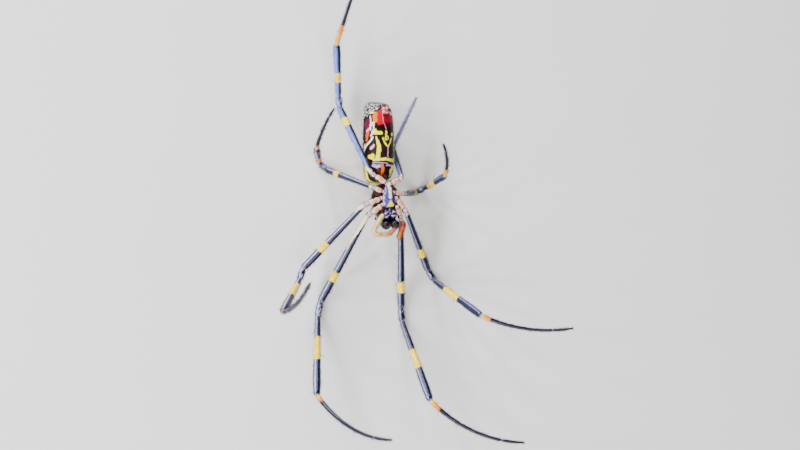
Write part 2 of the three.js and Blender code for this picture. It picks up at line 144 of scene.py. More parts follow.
ABDOMEN_LENGTH = 14.9
ABDOMEN_HALF_WIDTH = 2.95
ABDOMEN_HALF_HEIGHT = 3.0
ABDOMEN_CENTRE = (-0.66, 7.18, 7.24)
ABDOMEN_YAW = math.radians(1)
ABDOMEN_ROUND = 4.0
FRONT_LEAN = 0.4
REAR_LEAN = 0.25
ABDOMEN_RADIUS = (ABDOMEN_HALF_WIDTH + ABDOMEN_HALF_HEIGHT) / 2
BELLY_MIDLINE = math.radians(5)
# The marks of the abdomen are placed along the body from here.
MARKS_Y = 7.5
SKIN_SUNK = 0.02

ABDOMEN_HAIRS = 10000
CARAPACE_HAIRS = 16000
PALP_HAIRS = 1300

PEDICEL_FROM = (0, -0.9, 9.5)
PEDICEL_TO = (-0.13, 1.6, 8.85)
SPINNERET_PLACE = (-0.35, 12.9)

CARAPACE = {"length": 7.4, "half_width": 2.75, "head": 1.75, "depth": 2.55, "rim_z": 8.85, "rear_y": -0.5}
EYE_RADIUS = 0.27
EYES = {
    "front_median": (0.42, -7.75, 7.15),
    "rear_median": (0.5, -7.3, 6.62),
    "front_side": (1.38, -7.35, 7.75),
    "rear_side": (1.55, -6.85, 7.25),
}

CHELICERA_ROOT = (0.91, -7.35, 8.7)
CHELICERA_TIP = (0.88, -8.5, 11.2)
FANG_POINTS = ((1.3, -8.75, 11.4), (0.82, -8.47, 11.84), (0.35, -7.95, 11.72))
PALP_LEFT = ((-1.0, -6.35, 10.65), (-2.35, -8.05, 11.5), (-3.3, -9.5, 12.2), (-3.0, -10.05, 12.45),
             (-1.9, -10.1, 12.55), (-0.45, -9.95, 12.5), (0.35, -9.35, 12.4), (0.85, -8.85, 12.35))
PALP_RIGHT = ((2.62, -7.5, 10.75), (2.7, -8.3, 11.45), (2.1, -9.4, 12.0), (1.45, -10.78, 12.2))


# Colours

def rgb(code):
    """A #RRGGBB colour as linear light."""
    v = np.array([int(code[i:i + 2], 16) for i in (1, 3, 5)]) / 255
    return np.where(v <= 0.04045, v / 12.92, ((v + 0.055) / 1.055) ** 2.4)


NAVY = rgb("#0d0f3c")
NAVY_DEEP = rgb("#03041a")
REFLECTED_LAVENDER = rgb("#9a9ce0")
RING_YELLOW = rgb("#ffda00")
RING_PALE = rgb("#ffe200")
FOOT_ORANGE = rgb("#f07000")
CREAM = rgb("#fbecb8")
COXA_CREAM = rgb("#f2ccb8")
COXA_PEACH = rgb("#e09060")
MAROON = rgb("#1a040a")
MEMBRANE = rgb("#8f84a8")
FOOT_DARK = rgb("#07060f")
BELLY_DARK = rgb("#070305")
BELLY_BROWN = rgb("#1e0c12")
YELLOW = rgb("#fff000")
PALE_YELLOW = rgb("#fff23c")
PALE = rgb("#fff6dc")
GREY_WHITE = rgb("#c8c6c0")
LILAC = rgb("#c4a4e0")
ROSE = rgb("#f5a8bc")
PINK = rgb("#f5648c")
CRIMSON = rgb("#90001e")
WINE = rgb("#4c0416")
SCARLET = rgb("#b8000a")
ORANGE = rgb("#e06c00")
PLUM = rgb("#560a30")
PEACH = rgb("#da4c1c")
EPIGYNE = rgb("#6e1a08")
GREY_TEAL = rgb("#5f8884")
BACK_YELLOW = rgb("#e0c414")
SILVER = rgb("#d6d2c8")
CARAPACE_BROWN = rgb("#241c1a")
STERNUM_VIOLET = rgb("#564eae")
STERNUM_DARK = rgb("#15122c")
MOUTH_VIOLET = rgb("#1a1442")
HIGHLIGHT_WHITE = rgb("#dcdcff")
SKY_REFLECTION_BLUE = rgb("#6c8cf0")
BRISTLE_DARK = rgb("#16121c")


# Small helpers

def origin():
    """Where the body frame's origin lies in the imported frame, from the spinnerets' box."""
    low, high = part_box("spinnerets")
    middle = (low + high) / 2
    x, y = SPINNERET_PLACE
    return np.array([middle.x - x * MM, middle.y - y * MM, 0.0])


ORIGIN = origin()


def place(points):
    return np.asarray(points, float) * MM + ORIGIN


def unit(v):
    v = np.asarray(v, float)
    return v / np.maximum(np.linalg.norm(v, axis=-1, keepdims=True), 1e-12)


def step(low, high, x):
    """Rises smoothly from 0 at low to 1 at high."""
    t = np.clip((np.asarray(x, float) - low) / (high - low), 0, 1)
    return t * t * (3 - 2 * t)


def bell(gap, width):
    """1 where there is no gap, falling off to both sides over that width."""
    return np.exp(-(gap / width) ** 2)


def mix(a, b, share):
    share = np.clip(np.asarray(share, float), 0, 1)[..., None]
    return a * (1 - share) + b * share


def ripple(points, size, seed):
    """Smooth noise of about -1 to 1 with lumps of that size."""
    draw = np.random.RandomState(seed)
    waves = unit(draw.normal(size=(9, 3))) * (TURN / size) * draw.uniform(0.5, 1.3, (9, 1))
    phase = draw.uniform(0, TURN, 9)
    return np.sin(np.asarray(points) @ waves.T + phase).sum(-1) / 3.0


def mottled(a, b, points, size, seed):
    """Lumps of two colours that run into each other."""
    return mix(a, b, 0.5 + 0.5 * ripple(points, size, seed))


def head_turned(points):
    """Points of the front of the body, turned about the waist."""
    cos, sin = math.cos(HEAD_YAW), math.sin(HEAD_YAW)
    x, y = points[..., 0], points[..., 1] - WAIST_Y
    return np.stack([x * cos - y * sin, WAIST_Y + y * cos + x * sin, points[..., 2]], -1)


def at_places(places, known, values):
    """Rows of values at places between the known ones."""
    return np.stack([np.interp(places, known, values[:, k]) for k in range(values.shape[1])], -1)


def shades(places, colours):
    """Colours that change evenly from the first to the last as places go from 0 to 1."""
    return at_places(places, np.linspace(0, 1, len(colours)), np.array(colours))


def cell_edges(where, size, seed):
    """How far places on a surface lie from the nearest edge of a net of cells of that size."""
    count = 64
    draw = np.random.RandomState(seed)
    jitter = draw.uniform(0.12, 0.88, (count, count, 2))
    spot = where / size
    base = np.floor(spot).astype(int)
    gaps = []
    for i in (-1, 0, 1):
        for j in (-1, 0, 1):
            cell = base + [i, j]
            centre = cell + jitter[cell[..., 0] % count, cell[..., 1] % count]
            gaps.append(np.linalg.norm(spot - centre, axis=-1))
    gaps = np.sort(np.stack(gaps), axis=0)
    return (gaps[1] - gaps[0]) * size / 2


def either_way(angle):
    """The same angle between minus and plus half a turn."""
    return (angle + math.pi) % TURN - math.pi


def direction(azimuth, elevation):
    a, e = math.radians(azimuth), math.radians(elevation)
    return np.array([math.cos(e) * math.cos(a), math.cos(e) * math.sin(a), math.sin(e)])


def table(pairs, x):
    """Values of a (value, place) table at places x."""
    values, places = zip(*pairs)
    return np.interp(x, places, values)


def how_far(path):
    """How far along a polyline each of its points lies."""
    return np.concatenate([[0], np.cumsum(np.linalg.norm(np.diff(path, axis=0), axis=1))])


def even(path, gap):
    """A polyline resampled at even steps, and how far along it each point lies."""
    path = np.asarray(path, float)
    far = how_far(path)
    s = np.linspace(0, far[-1], max(4, int(round(far[-1] / gap)) + 1))
    return at_places(s, far, path), s


def softened(values, s, reach):
    """Values smoothed over a reach along s, with both ends kept."""
    gap = s[1] - s[0]
    n = max(1, int(round(3 * reach / gap)))
    kernel = np.exp(-0.5 * (np.arange(-n, n + 1) * gap / reach) ** 2)
    kernel /= kernel.sum()
    flat = values[:, None] if values.ndim == 1 else values
    head = 2 * flat[0] - flat[n:0:-1]
    tail = 2 * flat[-1] - flat[-2:-n - 2:-1]
    padded = np.concatenate([head, flat, tail])
    made = np.stack([np.convolve(padded[:, k], kernel, "valid") for k in range(flat.shape[1])], 1)
    return made[:, 0] if values.ndim == 1 else made


def spline(points, steps=16):
    """A Catmull-Rom curve through points."""
    p = np.asarray(points, float)
    p = np.concatenate([[2 * p[0] - p[1]], p, [2 * p[-1] - p[-2]]])
    made = []
    for i in range(1, len(p) - 2):
        for t in np.linspace(0, 1, steps, endpoint=False):
            a, b, c, d = p[i - 1:i + 3]
            made.append(0.5 * (2 * b + (c - a) * t + (2 * a - 5 * b + 4 * c - d) * t * t
                               + (3 * b - a - 3 * c + d) * t ** 3))
    made.append(p[-2])
    return np.array(made)


# Meshes

def grid_quads(rows, columns):
    r = np.arange(rows - 1)[:, None] * columns
    c = np.arange(columns)[None, :]
    n = (c + 1) % columns
    return np.stack([r + c, r + n, r + columns + n, r + columns + c], -1).reshape(-1, 4)


def with_poles(values):
    """Values of every ring point, then those of a pole at each end."""
    flat = values.reshape(-1, values.shape[-1])
    return np.concatenate([flat, values[:1].mean(1), values[-1:].mean(1)])


def closed(rings):
    """Points and faces of a closed skin over rings of points, with a pole at each end."""
    rows, columns = rings.shape[:2]
    c = np.arange(columns)
    n = (c + 1) % columns
    top = (rows - 1) * columns
    pole = np.full(columns, rows * columns)
    ends = [np.stack([pole, n, c], 1), np.stack([pole + 1, top + c, top + n], 1)]
    return with_poles(rings), grid_quads(rows, columns), np.concatenate(ends)


def joined(parts):
    """Several (points, quads, triangles, paint) as one."""
    points, quads, triangles, paint = zip(*parts)
    starts = np.cumsum([0, *map(len, points[:-1])])
    quads, triangles = ([faces + k for faces, k in zip(kind, starts)] for kind in (quads, triangles))
    return [np.concatenate(x) for x in (points, quads, triangles, paint)]


def turned_out(points, quads, triangles):
    """The same skin with its faces turned over."""
    return points, quads[:, ::-1], triangles[:, ::-1]


def grid(places, sides):
    """Places along a form and angles round it, as a grid of that many sides."""
    return np.meshgrid(places, np.linspace(0, TURN, sides, endpoint=False), indexing="ij")


def bunched(count, low, high):
    """Shares of a length that lie closer together towards both ends."""
    return (1 - np.cos(np.linspace(low, high, count) * math.pi)) / 2


def rounded(share, power):
    """Share of a form's full girth along its length. A higher power makes its ends blunter."""
    return np.maximum(0, 1 - np.abs(2 * share - 1) ** power) ** (1 / power)


def unwrapped(around, along):
    """Shares round and along a form as UV, clear of the picture's edges."""
    return np.stack([0.02 + 0.96 * around, 0.02 + 0.96 * along], 1)


def added(name, data):
    """A new object in the scene, for a mesh, a camera or a light."""
    piece = bpy.data.objects.new(name, data)
    bpy.context.scene.collection.objects.link(piece)
    return piece


def make(name, skin, surface, nodes=(), uv=None, head=False):
    """A mesh object from (points in mm, quads, triangles, paint), riding on the body."""
    points, quads, triangles, paint = skin
    if head:
        points = head_turned(points)
    points = np.concatenate([points[:, :2], np.maximum(points[:, 2:], FLOOR_CLEAR)], 1)
    mesh = bpy.data.meshes.new(name)
    loops = np.concatenate([np.asarray(quads, int).ravel(), np.asarray(triangles, int).ravel()])
    sizes = np.concatenate([np.full(len(quads), 4), np.full(len(triangles), 3)]).astype(int)
    mesh.vertices.add(len(points))
    mesh.vertices.foreach_set("co", place(points).astype(np.float32).ravel())
    mesh.loops.add(len(loops))
    mesh.loops.foreach_set("vertex_index", loops.astype(np.int32))
    mesh.polygons.add(len(sizes))
    mesh.polygons.foreach_set("loop_start", (np.cumsum(sizes) - sizes).astype(np.int32))
    mesh.polygons.foreach_set("use_smooth", np.ones(len(sizes), bool))
    mesh.update(calc_edges=True)
    mesh.validate()
    colours = mesh.color_attributes.new("paint", "FLOAT_COLOR", "POINT")
    full = np.concatenate([np.clip(paint, 0, 1), np.ones((len(paint), 1))], 1)
    colours.data.foreach_set("color", full.astype(np.float32).ravel())
    if uv is not None:
        layer = mesh.uv_layers.new(name="OFBake")
        layer.data.foreach_set("uv", uv[loops].astype(np.float32).ravel())
    piece = added(name, mesh)
    mesh.materials.append(surface)
    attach(piece, BODY)
    if nodes:
        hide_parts(*nodes)
    return piece


def frames(path, side):
    """Tangents of a path, and two directions square to it that don't twist, from side."""
    tangents = unit(np.gradient(path, axis=0))
    across = np.zeros_like(tangents)
    v = np.asarray(side, float)
    for i, t in enumerate(tangents):
        v = v - t * (v @ t)
        v = v / np.linalg.norm(v)
        across[i] = v
    return tangents, across, np.cross(tangents, across)


def sweep(path, radii, sides, side=(0, 0, 1)):
    """Rings of points round a path, the first of each towards side, and the ways they face."""
    _, first, second = frames(path, side)
    a = np.linspace(0, TURN, sides, endpoint=False)[None, :, None]
    outward = np.cos(a) * first[:, None] + np.sin(a) * second[:, None]
    return path[:, None] + outward * radii[:, None, None], outward


def tube(path, radii, sides=TUBE_SIDES, side=(0, 0, 1)):
    """A closed skin round a path."""
    return closed(sweep(path, radii, sides, side)[0])


def domed(radii, s):
    """Radii drawn in at both ends so that the tube closes as a dome."""
    near = np.minimum(s / (radii[0] * 0.8), 1)
    far = np.minimum((s[-1] - s) / (radii[-1] * 0.8), 1)
    ends = np.clip(1 - (1 - near) ** 2, 0.0004, 1) * np.clip(1 - (1 - far) ** 2, 0.0004, 1)
    return radii * np.sqrt(ends)


def coat(name, roots, out, lie, lengths, widths, lean, paint, uv, bend=0.35, head=False):
    """A mesh of tapered hairs. Each leans from out towards lie, bends over and closes at its root.
    Hairs that would touch the floor are left out."""
    low = unit(out * math.cos(lean) + lie * math.sin(lean))
    tips = roots + low * lengths[:, None]
    clear = np.minimum(roots[:, 2], tips[:, 2]) > HAIR_CLEAR
    roots, out, lie, low, lengths, paint, uv = (
        v[clear] for v in (roots, out, lie, low, lengths, paint, uv))
    high = unit(out * math.cos(lean + bend) + lie * math.sin(lean + bend))
    a = unit(np.cross(low, out + 1e-3))
    b = np.cross(low, a)
    middle = roots + low * (lengths * 0.5)[:, None]
    tip = middle + high * (lengths * 0.5)[:, None]
    base = roots - out * 0.03
    corners, patches = [], []
    for centre, scale, patch in ((base, 1.0, 0.0015), (middle, 0.68, 0.0008)):
        for k in range(3):
            turn = TURN * k / 3
            around = a * math.cos(turn) + b * math.sin(turn)
            corners.append(centre + around * widths * scale / 2)
            patches.append(uv + np.array([math.cos(turn), math.sin(turn)]) * patch)
    corners.append(tip)
    patches.append(uv)
    points = np.stack(corners, 1).reshape(-1, 3)
    spots = np.stack(patches, 1).reshape(-1, 2)
    faces = [(0, 2, 1)]
    for k in range(3):
        m = (k + 1) % 3
        faces += [(k, m, 3 + m), (k, 3 + m, 3 + k), (3 + k, 3 + m, 6)]
    triangles = (np.arange(len(roots))[:, None, None] * 7 + np.array(faces)[None]).reshape(-1, 3)
    skin = (points, np.zeros((0, 4), int), triangles, np.repeat(paint, 7, axis=0))
    return make(name, skin, HAIR, uv=spots, head=head)


def tube_roots(path, far, radii, at, angle):
    """Places at and round a tube: surface points, the ways they face and the way to its tip."""
    tangents, first, second, middle = (
        at_places(at, far, v) for v in (*frames(path, (0, 0, 1)), path))
    out = unit(first * np.cos(angle)[:, None] + second * np.sin(angle)[:, None])
    return middle + out * np.interp(at, far, radii)[:, None], out, unit(tangents)


# Materials

class Nodes:
    """A short way to write a material's node tree."""

    def __init__(self, name):
        self.material = bpy.data.materials.new(name)
        self.material.use_nodes = True
        self.tree = self.material.node_tree
        self.shader = self.tree.nodes["Principled BSDF"]
        self.place = self.add("ShaderNodeTexCoord").outputs["Object"]

    def add(self, kind, values=(), **settings):
        node = self.tree.nodes.new(kind)
        for key, value in settings.items():
            setattr(node, key, value)
        for key, value in dict(values).items():
            self.give(node.inputs[key], value)
        return node

    def give(self, socket, value):
        if isinstance(value, bpy.types.NodeSocket):
            self.tree.links.new(value, socket)
        else:
            socket.default_value = value

    def noise(self, size, detail=3.0, rough=0.55):
        """Noise with lumps of about that size in millimetres."""
        values = {"Vector": self.place, "Scale": 1 / (size * MM), "Detail": detail, "Roughness": rough}
        return self.add("ShaderNodeTexNoise", values).outputs["Fac"]

    def cells(self, size, feature="F1"):
        values = {"Vector": self.place, "Scale": 1 / (size * MM)}
        return self.add("ShaderNodeTexVoronoi", values, feature=feature).outputs["Distance"]

    def span(self, value, low, high, to_low=0.0, to_high=1.0):
        values = {"Value": value, "From Min": low, "From Max": high, "To Min": to_low, "To Max": to_high}
        return self.add("ShaderNodeMapRange", values).outputs["Result"]

    def patches(self, size, low, high):
        """Values from low to high in soft patches of about that size."""
        return self.span(self.noise(size), 0.3, 0.7, low, high)

    def times(self, a, b):
        return self.add("ShaderNodeMath", {0: a, 1: b}, operation="MULTIPLY").outputs[0]

    def plus(self, a, b):
        return self.add("ShaderNodeMath", {0: a, 1: b}, operation="ADD").outputs[0]

    def blend(self, share, a, b, how="MIX"):
        node = self.add("ShaderNodeMix", data_type="RGBA", blend_type=how)
        self.give(node.inputs["Factor"], share)
        self.give(node.inputs[6], a)
        self.give(node.inputs[7], b)
        return node.outputs[2]

    def darkened(self, colour, share, shade):
        return self.blend(share, colour, shade, "MULTIPLY")

    def bump(self, height, depth, strength=1.0):
        """Bump of that depth in millimetres."""
        values = {"Height": height, "Distance": depth * MM, "Strength": strength}
        return self.add("ShaderNodeBump", values).outputs["Normal"]

    def paint(self):
        return self.add("ShaderNodeVertexColor", layer_name="paint").outputs["Color"]

    def finish(self, colour, rough, normal, **fixed):
        self.give(self.shader.inputs["Base Color"], colour)
        self.give(self.shader.inputs["Roughness"], rough)
        self.give(self.shader.inputs["Normal"], normal)
        for key, value in fixed.items():
            self.shader.inputs[key.replace("_", " ")].default_value = value
        return self.material


def shell_surface(name, rough=(0.18, 0.28), tint=(0.85, 0.87, 1.0), gloss=0.45, grain=0.1,
                  coat_share=0.12):
    """Smooth, hard skin with fine pores and a cool gloss."""
    n = Nodes(name)
    colour = n.darkened(n.paint(), n.span(n.noise(0.35), 0.35, 0.7, 0.0, 0.2), (0.8, 0.72, 0.7, 1))
    height = n.plus(n.times(n.noise(grain, 4.0, 0.65), 0.7), n.times(n.cells(grain * 1.6), 0.5))
    return n.finish(
        colour,
        n.patches(0.22, *rough),
        n.bump(height, 0.02, 0.45),
        Specular_IOR_Level=gloss,
        Specular_Tint=(*tint, 1),
        Coat_Weight=coat_share,
        Coat_Roughness=0.12,
    )


def soft_surface(name, rough=(0.38, 0.52)):
    """Leathery skin with grains of pigment under it and fine folds."""
    n = Nodes(name)
    grains = n.span(n.cells(0.16), 0.1, 0.75, 0.0, 0.22)
    colour = n.darkened(n.paint(), grains, (0.9, 0.72, 0.55, 1))
    colour = n.darkened(colour, n.span(n.noise(0.5), 0.4, 0.7, 0.0, 0.2), (0.85, 0.75, 0.7, 1))
    folds = n.plus(n.noise(0.3, 5.0, 0.6), n.times(n.cells(0.2), -0.35))
    return n.finish(
        colour,
        n.patches(0.25, *rough),
        n.bump(folds, 0.04, 0.55),
        Specular_IOR_Level=0.15,
        Coat_Weight=0.02,
        Coat_Roughness=0.25,
    )


def hair_surface(name, rough=0.5, gloss=0.35):
    n = Nodes(name)
    shade = n.span(n.noise(0.6), 0.35, 0.65, 0.0, 0.35)
    colour = n.darkened(n.paint(), shade, (0.7, 0.68, 0.66, 1))
    return n.finish(
        colour,
        n.patches(0.15, rough - 0.08, rough + 0.1),
        n.bump(n.noise(0.05), 0.01, 0.3),
        Specular_IOR_Level=gloss,
    )


LEG_SHELL = shell_surface("leg_shell")
BODY_SHELL = shell_surface("body_shell", (0.2, 0.34), (0.85, 0.85, 1.0), 0.6)
BLACK_SHELL = shell_surface("black_shell", (0.32, 0.44), (0.9, 0.92, 1.0), 0.3, coat_share=0.04)
ABDOMEN_SKIN = soft_surface("abdomen_skin")
PALP_SKIN = shell_surface("palp_skin", (0.3, 0.45), (1.0, 0.97, 0.92), 0.45, coat_share=0.1)
HAIR = hair_surface("hair")
EYE_GLASS = shell_surface("eye_glass", (0.03, 0.08), (0.95, 0.97, 1.0), 0.8, 0.3, 0.8)


# Legs

def leg_corners(name):
    """Coxa start, hip, knee, patella's end, ankle and the points of the foot."""
    coxa, hip, knee_z, femur_azimuth, patella, tibia, first, last = POSE[name]
    femur, patella_length, tibia_length, foot = LENGTHS[int(name[3])]
    hip = np.array(hip, float)
    drop = math.degrees(math.asin((knee_z - hip[2]) / femur))
    knee = hip + direction(femur_azimuth, drop) * femur
    patella_end = knee + direction(*patella) * patella_length
    ankle = patella_end + direction(*tibia) * tibia_length
    steps = 12
    points = [ankle]
    for i in range(steps):
        share = (i + 0.5) / steps
        d = unit(direction(*first) * (1 - share) + direction(*last) * share)
        points.append(points[-1] + d * foot / steps)
    return np.array(coxa, float), hip, knee, patella_end, ankle, points[1:]


class Leg:
    """A leg's path from inside its root to its tip, and what lies at each place on it."""

    ROOT_SUNK = 0.5
    STEP = 0.14
    HAIRS_PER_MM = 60
    HAIR_WIDTH = 0.03
    SPINE_WIDTH = 0.085
    # Points of a claw: how far onwards, sideways and down.
    CLAW = ((0, 0, 0), (0.2, 0.05, 0), (0.34, 0.07, 0.05), (0.4, 0.08, 0.16))

    def __init__(self, name):
        self.name = name
        self.girth = GIRTH[int(name[3])]
        coxa, hip, knee, patella_end, ankle, foot = leg_corners(name)
        root = coxa - unit(hip - coxa) * self.ROOT_SUNK
        corners = [root, hip, knee, patella_end, ankle, *foot]
        path, self.s = even(corners, self.STEP)
        self.path = softened(path, self.s, 0.34)
        # Across each leg towards the upper left, where its painted highlight lies.
        beside = unit(np.cross(TO_CAMERA, np.gradient(self.path, axis=0)))
        self.beside = beside * np.sign(beside @ UPPER_LEFT)[:, None]
        self.ends = how_far(corners)[[0, 1, 2, 3, 4, -1]]
        self.ends[0] = self.ROOT_SUNK
        self.length = self.ends[-1]
        shapes = (COXA_SHAPE, FEMUR_SHAPE, PATELLA_SHAPE, TIBIA_SHAPE, FOOT_SHAPE)
        pairs = []
        for shape, a, b in zip(shapes, self.ends, self.ends[1:]):
            pairs += [(r, a + (b - a) * t * 0.999) for r, t in shape]
        radii = table(pairs, self.s) * self.girth
        self.joints = [
            self.ends[0] + (self.ends[1] - self.ends[0]) * TROCHANTER_SHARE,
            *self.ends[1:5],
            self.ends[4] + (self.ends[5] - self.ends[4]) * TARSUS_SHARE,
        ]
        for at in self.joints:
            radii = radii * (1 - 0.17 * bell(self.s - at, 0.2 * self.girth))
            radii = radii * (1 + 0.07 * bell(self.s - at + 0.42, 0.22))
        self.radii = domed(softened(radii, self.s, 0.07), self.s)

    def shares(self, s, k):
        """How far along length k the places s lie, under 0 before it and over 1 past it."""
        return (s - self.ends[k]) / (self.ends[k + 1] - self.ends[k])

    def band(self, s, k, low, high, soft=0.09):
        """1 inside a ring between two shares of length k, with soft edges in millimetres."""
        span = self.ends[k + 1] - self.ends[k]
        a, b = self.ends[k] + low * span, self.ends[k] + high * span
        return step(a - soft, a + soft, s) * (1 - step(b - soft, b + soft, s))

    def paint(self, s, out, points):
        """Colour at places s, where out is the direction that the skin faces. It holds painted shade, a
        painted sky reflection and a painted highlight line.
        """
        belly = out[..., 2]
        lit = (out * at_places(s, self.s, self.beside)).sum(-1)
        grain = ripple(points, 0.45, 5)
        moved = s + ripple(points, 1.1, 11) * 0.1
        colour = mix(NAVY_DEEP, NAVY, 0.45 + 0.35 * grain)
        # Painted shade: the side turned away from the belly is darker.
        colour = mix(colour, NAVY_DEEP, 0.6 * step(0.1, -0.7, belly))
        # Painted sky reflection and painted highlight line, only on the side that faces the camera.
        above = step(0.0, 0.3, out @ np.array(TO_CAMERA))
        sky_reflection = SKY_REFLECTION.get(self.name, PLAIN_SKY_REFLECTION) * above
        colour = mix(colour, SKY_REFLECTION_BLUE, sky_reflection * step(-0.6, 0.3, lit + 0.1 * grain))
        highlight = bell(lit - HIGHLIGHT_AT + 0.03 * grain, HIGHLIGHT_WIDTH) * above
        colour = mix(colour, HIGHLIGHT_WHITE, PAINTED_HIGHLIGHT.get(self.name, PLAIN_PAINTED_HIGHLIGHT) * highlight)
        colour = self.paint_femur_base(colour, moved, lit, grain)
        colour = self.paint_coxa(colour, moved, belly, points)
        colour = self.paint_rings(colour, moved, grain)
        return self.paint_joints(colour, s, belly, grain)

    def paint_femur_base(self, colour, s, lit, grain):
        """Cream on the femur's first stretch, that narrows to a line on the upper left and fades. The cream
        is the femur's own colour; narrowing it towards the lit upper left is painted light, leaving painted
        shade on the far side and a painted highlight line at its end.
        """
        reach = CREAM_SHARE.get(self.name, PLAIN_CREAM_SHARE)
        femur = (self.shares(s, 1) + 0.02 * grain) / reach
        edge = -1.3 + 2.2 * np.clip(femur, 0, 0.7)
        return mix(colour, CREAM, (1 - step(0.75, 1.05, femur)) * step(edge, edge + 0.3, lit))

    def paint_coxa(self, colour, s, belly, points):
        """Pale pink plates with peach middles and dark red edges on the coxa and trochanter; the dark red
        edges are painted shade between the legs' roots.
        """
        share = self.shares(s, 0)
        flesh = mix(COXA_CREAM, COXA_PEACH, bell(share - 0.36, 0.2) * step(0.55, 0.95, belly))
        flesh = mix(flesh, LILAC, 0.45 * step(0.68, 0.76, share))
        # The sides that turn away from the belly are left dark red: painted shade.
        face = step(0.42, 0.66, belly + 0.16 * ripple(points, 0.7, 23))
        return mix(colour, mix(MAROON, flesh, face), 1 - step(0.97, 1.0, share))

    def paint_rings(self, colour, s, grain):
        """Yellow rings on the femur and tibia, orange at the start of the foot."""
        (femur_low, femur_high), (tibia_low, tibia_high), foot_high = RINGS[self.name]
        femur_yellow = RING_PALE if self.name[3] in "34" else RING_YELLOW
        tibia_yellow = FOOT_ORANGE if self.name == "leg3_left" else RING_YELLOW
        colour = mix(colour, femur_yellow, self.band(s, 1, femur_low, femur_high))
        colour = mix(colour, tibia_yellow, self.band(s, 3, tibia_low, tibia_high))
        foot = self.shares(s, 4)
        dark = mix(FOOT_DARK, NAVY, 0.3 + 0.3 * grain)
        # A painted lavender reflection on the foot of the right fourth leg.
        if self.name == "leg4_right":
            dark = mix(dark, REFLECTED_LAVENDER, 0.45)
        colour = mix(colour, dark, step(0.0, 0.02, foot))
        pale = mix(FOOT_ORANGE, RING_YELLOW, 0.7 - 0.7 * step(0, foot_high, foot))
        return mix(colour, pale, self.band(s, 4, 0.004, foot_high, 0.16))

    def paint_joints(self, colour, s, belly, grain):
        """Paler skin with a dark rim at each joint, and pale glints on the patella, which are painted
        highlights.
        """
        for at in self.joints[1:]:
            colour = mix(colour, MEMBRANE, 0.7 * bell(s - at, 0.1))
            colour = mix(colour, NAVY_DEEP, 0.8 * bell(s - at + 0.26, 0.1))
        colour = mix(colour, MAROON, 0.85 * bell(s - self.joints[0], 0.1))
        colour = mix(colour, MAROON, 0.9 * bell(s - self.ends[0] - 0.12, 0.2))
        # Painted highlights: pale glints on the side of the patella that faces the belly.
        knee = bell(self.shares(s, 2) - 0.5, 0.55)
        return mix(colour, HIGHLIGHT_WHITE, 0.7 * knee * step(0.2, 0.7, grain) * step(0.1, 0.6, belly))

    def skin(self):
        rings, outward = sweep(self.path, self.radii, TUBE_SIDES)
        rings = rings + outward * (ripple(rings, 0.8, 3) * 0.012 * self.girth)[..., None]
        s = np.repeat(self.s[:, None], TUBE_SIDES, 1)
        skin = (*closed(rings), with_poles(self.paint(s, outward, rings)))
        nodes = [f"{self.name}_{part}" for part in ("coxa", "femur", "patella", "tibia", "foot")]
        make(f"{self.name}_skin", skin, LEG_SHELL, nodes)

    def roots(self, s, angle):
        """Surface points, outward directions and directions towards the tip, at places on the leg."""
        return tube_roots(self.path, self.s, self.radii, s, angle)

    def uv(self, s, angle):
        return unwrapped((angle % TURN) / TURN, s / self.length)

    def hair(self, seed):
        """Short, dark bristles all over, that lie towards the tip."""
        draw = np.random.RandomState(seed)
        start = self.ends[0] + 0.4
        count = int(self.HAIRS_PER_MM * (self.length - start))
        s = draw.uniform(start, self.length - 0.1, count)
        angle = draw.uniform(0, TURN, count)
        points, out, along = self.roots(s, angle)
        lie = unit(along + 0.25 * np.cross(along, out) * draw.normal(size=(count, 1)))
        foot = step(0.0, 0.5, self.shares(s, 4))
        coxal = 1 - step(0.8, 1.0, self.shares(s, 0))
        lengths = draw.uniform(0.28, 0.5, count) * (1 + 0.25 * foot) * (1 - 0.35 * coxal)
        colour = mix(self.paint(s, out, points), BRISTLE_DARK, 0.5 + 0.3 * draw.uniform(size=count))
        coat(f"{self.name}_bristles", points, out, lie, lengths, self.HAIR_WIDTH, 0.8, colour,
             self.uv(s, angle))

    def spines(self, seed):
        """Long, dark spines on the femur, patella, tibia and metatarsus."""
        draw = np.random.RandomState(seed)
        s, angle = [], []
        rows = ((1, 7, 0.3, 0.95), (2, 3, 0.3, 0.8), (3, 11, 0.08, 0.94), (4, 9, 0.04, 0.6))
        for k, count, low, high in rows:
            span = self.ends[k + 1] - self.ends[k]
            s += list(self.ends[k] + span * np.linspace(low, high, count) + draw.normal(size=count) * 0.15)
            angle += list((np.arange(count) % 3) * 2.2 + draw.normal(size=count) * 0.35)
        s, angle = np.array(s), np.array(angle)
        points, out, along = self.roots(s, angle)
        lengths = draw.uniform(1.0, 1.6, len(s)) * (0.7 + 0.3 * self.girth)
        colour = np.tile(BRISTLE_DARK, (len(s), 1))
        coat(f"{self.name}_spines", points, out, along, lengths, self.SPINE_WIDTH, 0.75, colour,
             self.uv(s, angle), bend=0.3)

    def claws(self):
        """Three small hooks at the tip of the foot."""
        tangents, first, second = frames(self.path, (0, 0, 1))
        tip, along, up, wide = self.path[-3], tangents[-1], first[-1], second[-1]
        parts = []
        for sideways, size in ((-1, 1.0), (1, 1.0), (0, 0.7)):
            start = tip + wide * 0.04 * sideways
            points = [start + (along * a + wide * w * sideways - up * u) * size for a, w, u in self.CLAW]
            path, s = even(spline(points, 6), 0.03)
            skin = tube(path, np.linspace(0.04, 0.006, len(s)), 8)
            parts.append((*skin, np.tile(BRISTLE_DARK, (len(skin[0]), 1))))
        make(f"{self.name}_claws", joined(parts), BLACK_SHELL)


def make_legs():
    for i, name in enumerate(POSE):
        leg = Leg(name)
        leg.skin()
        leg.hair(100 + i)
        leg.spines(200 + i)
        leg.claws()


# Abdomen

def girth(t):
    """Share of the abdomen's full girth at share t of its length."""
    return rounded(t, ABDOMEN_ROUND)


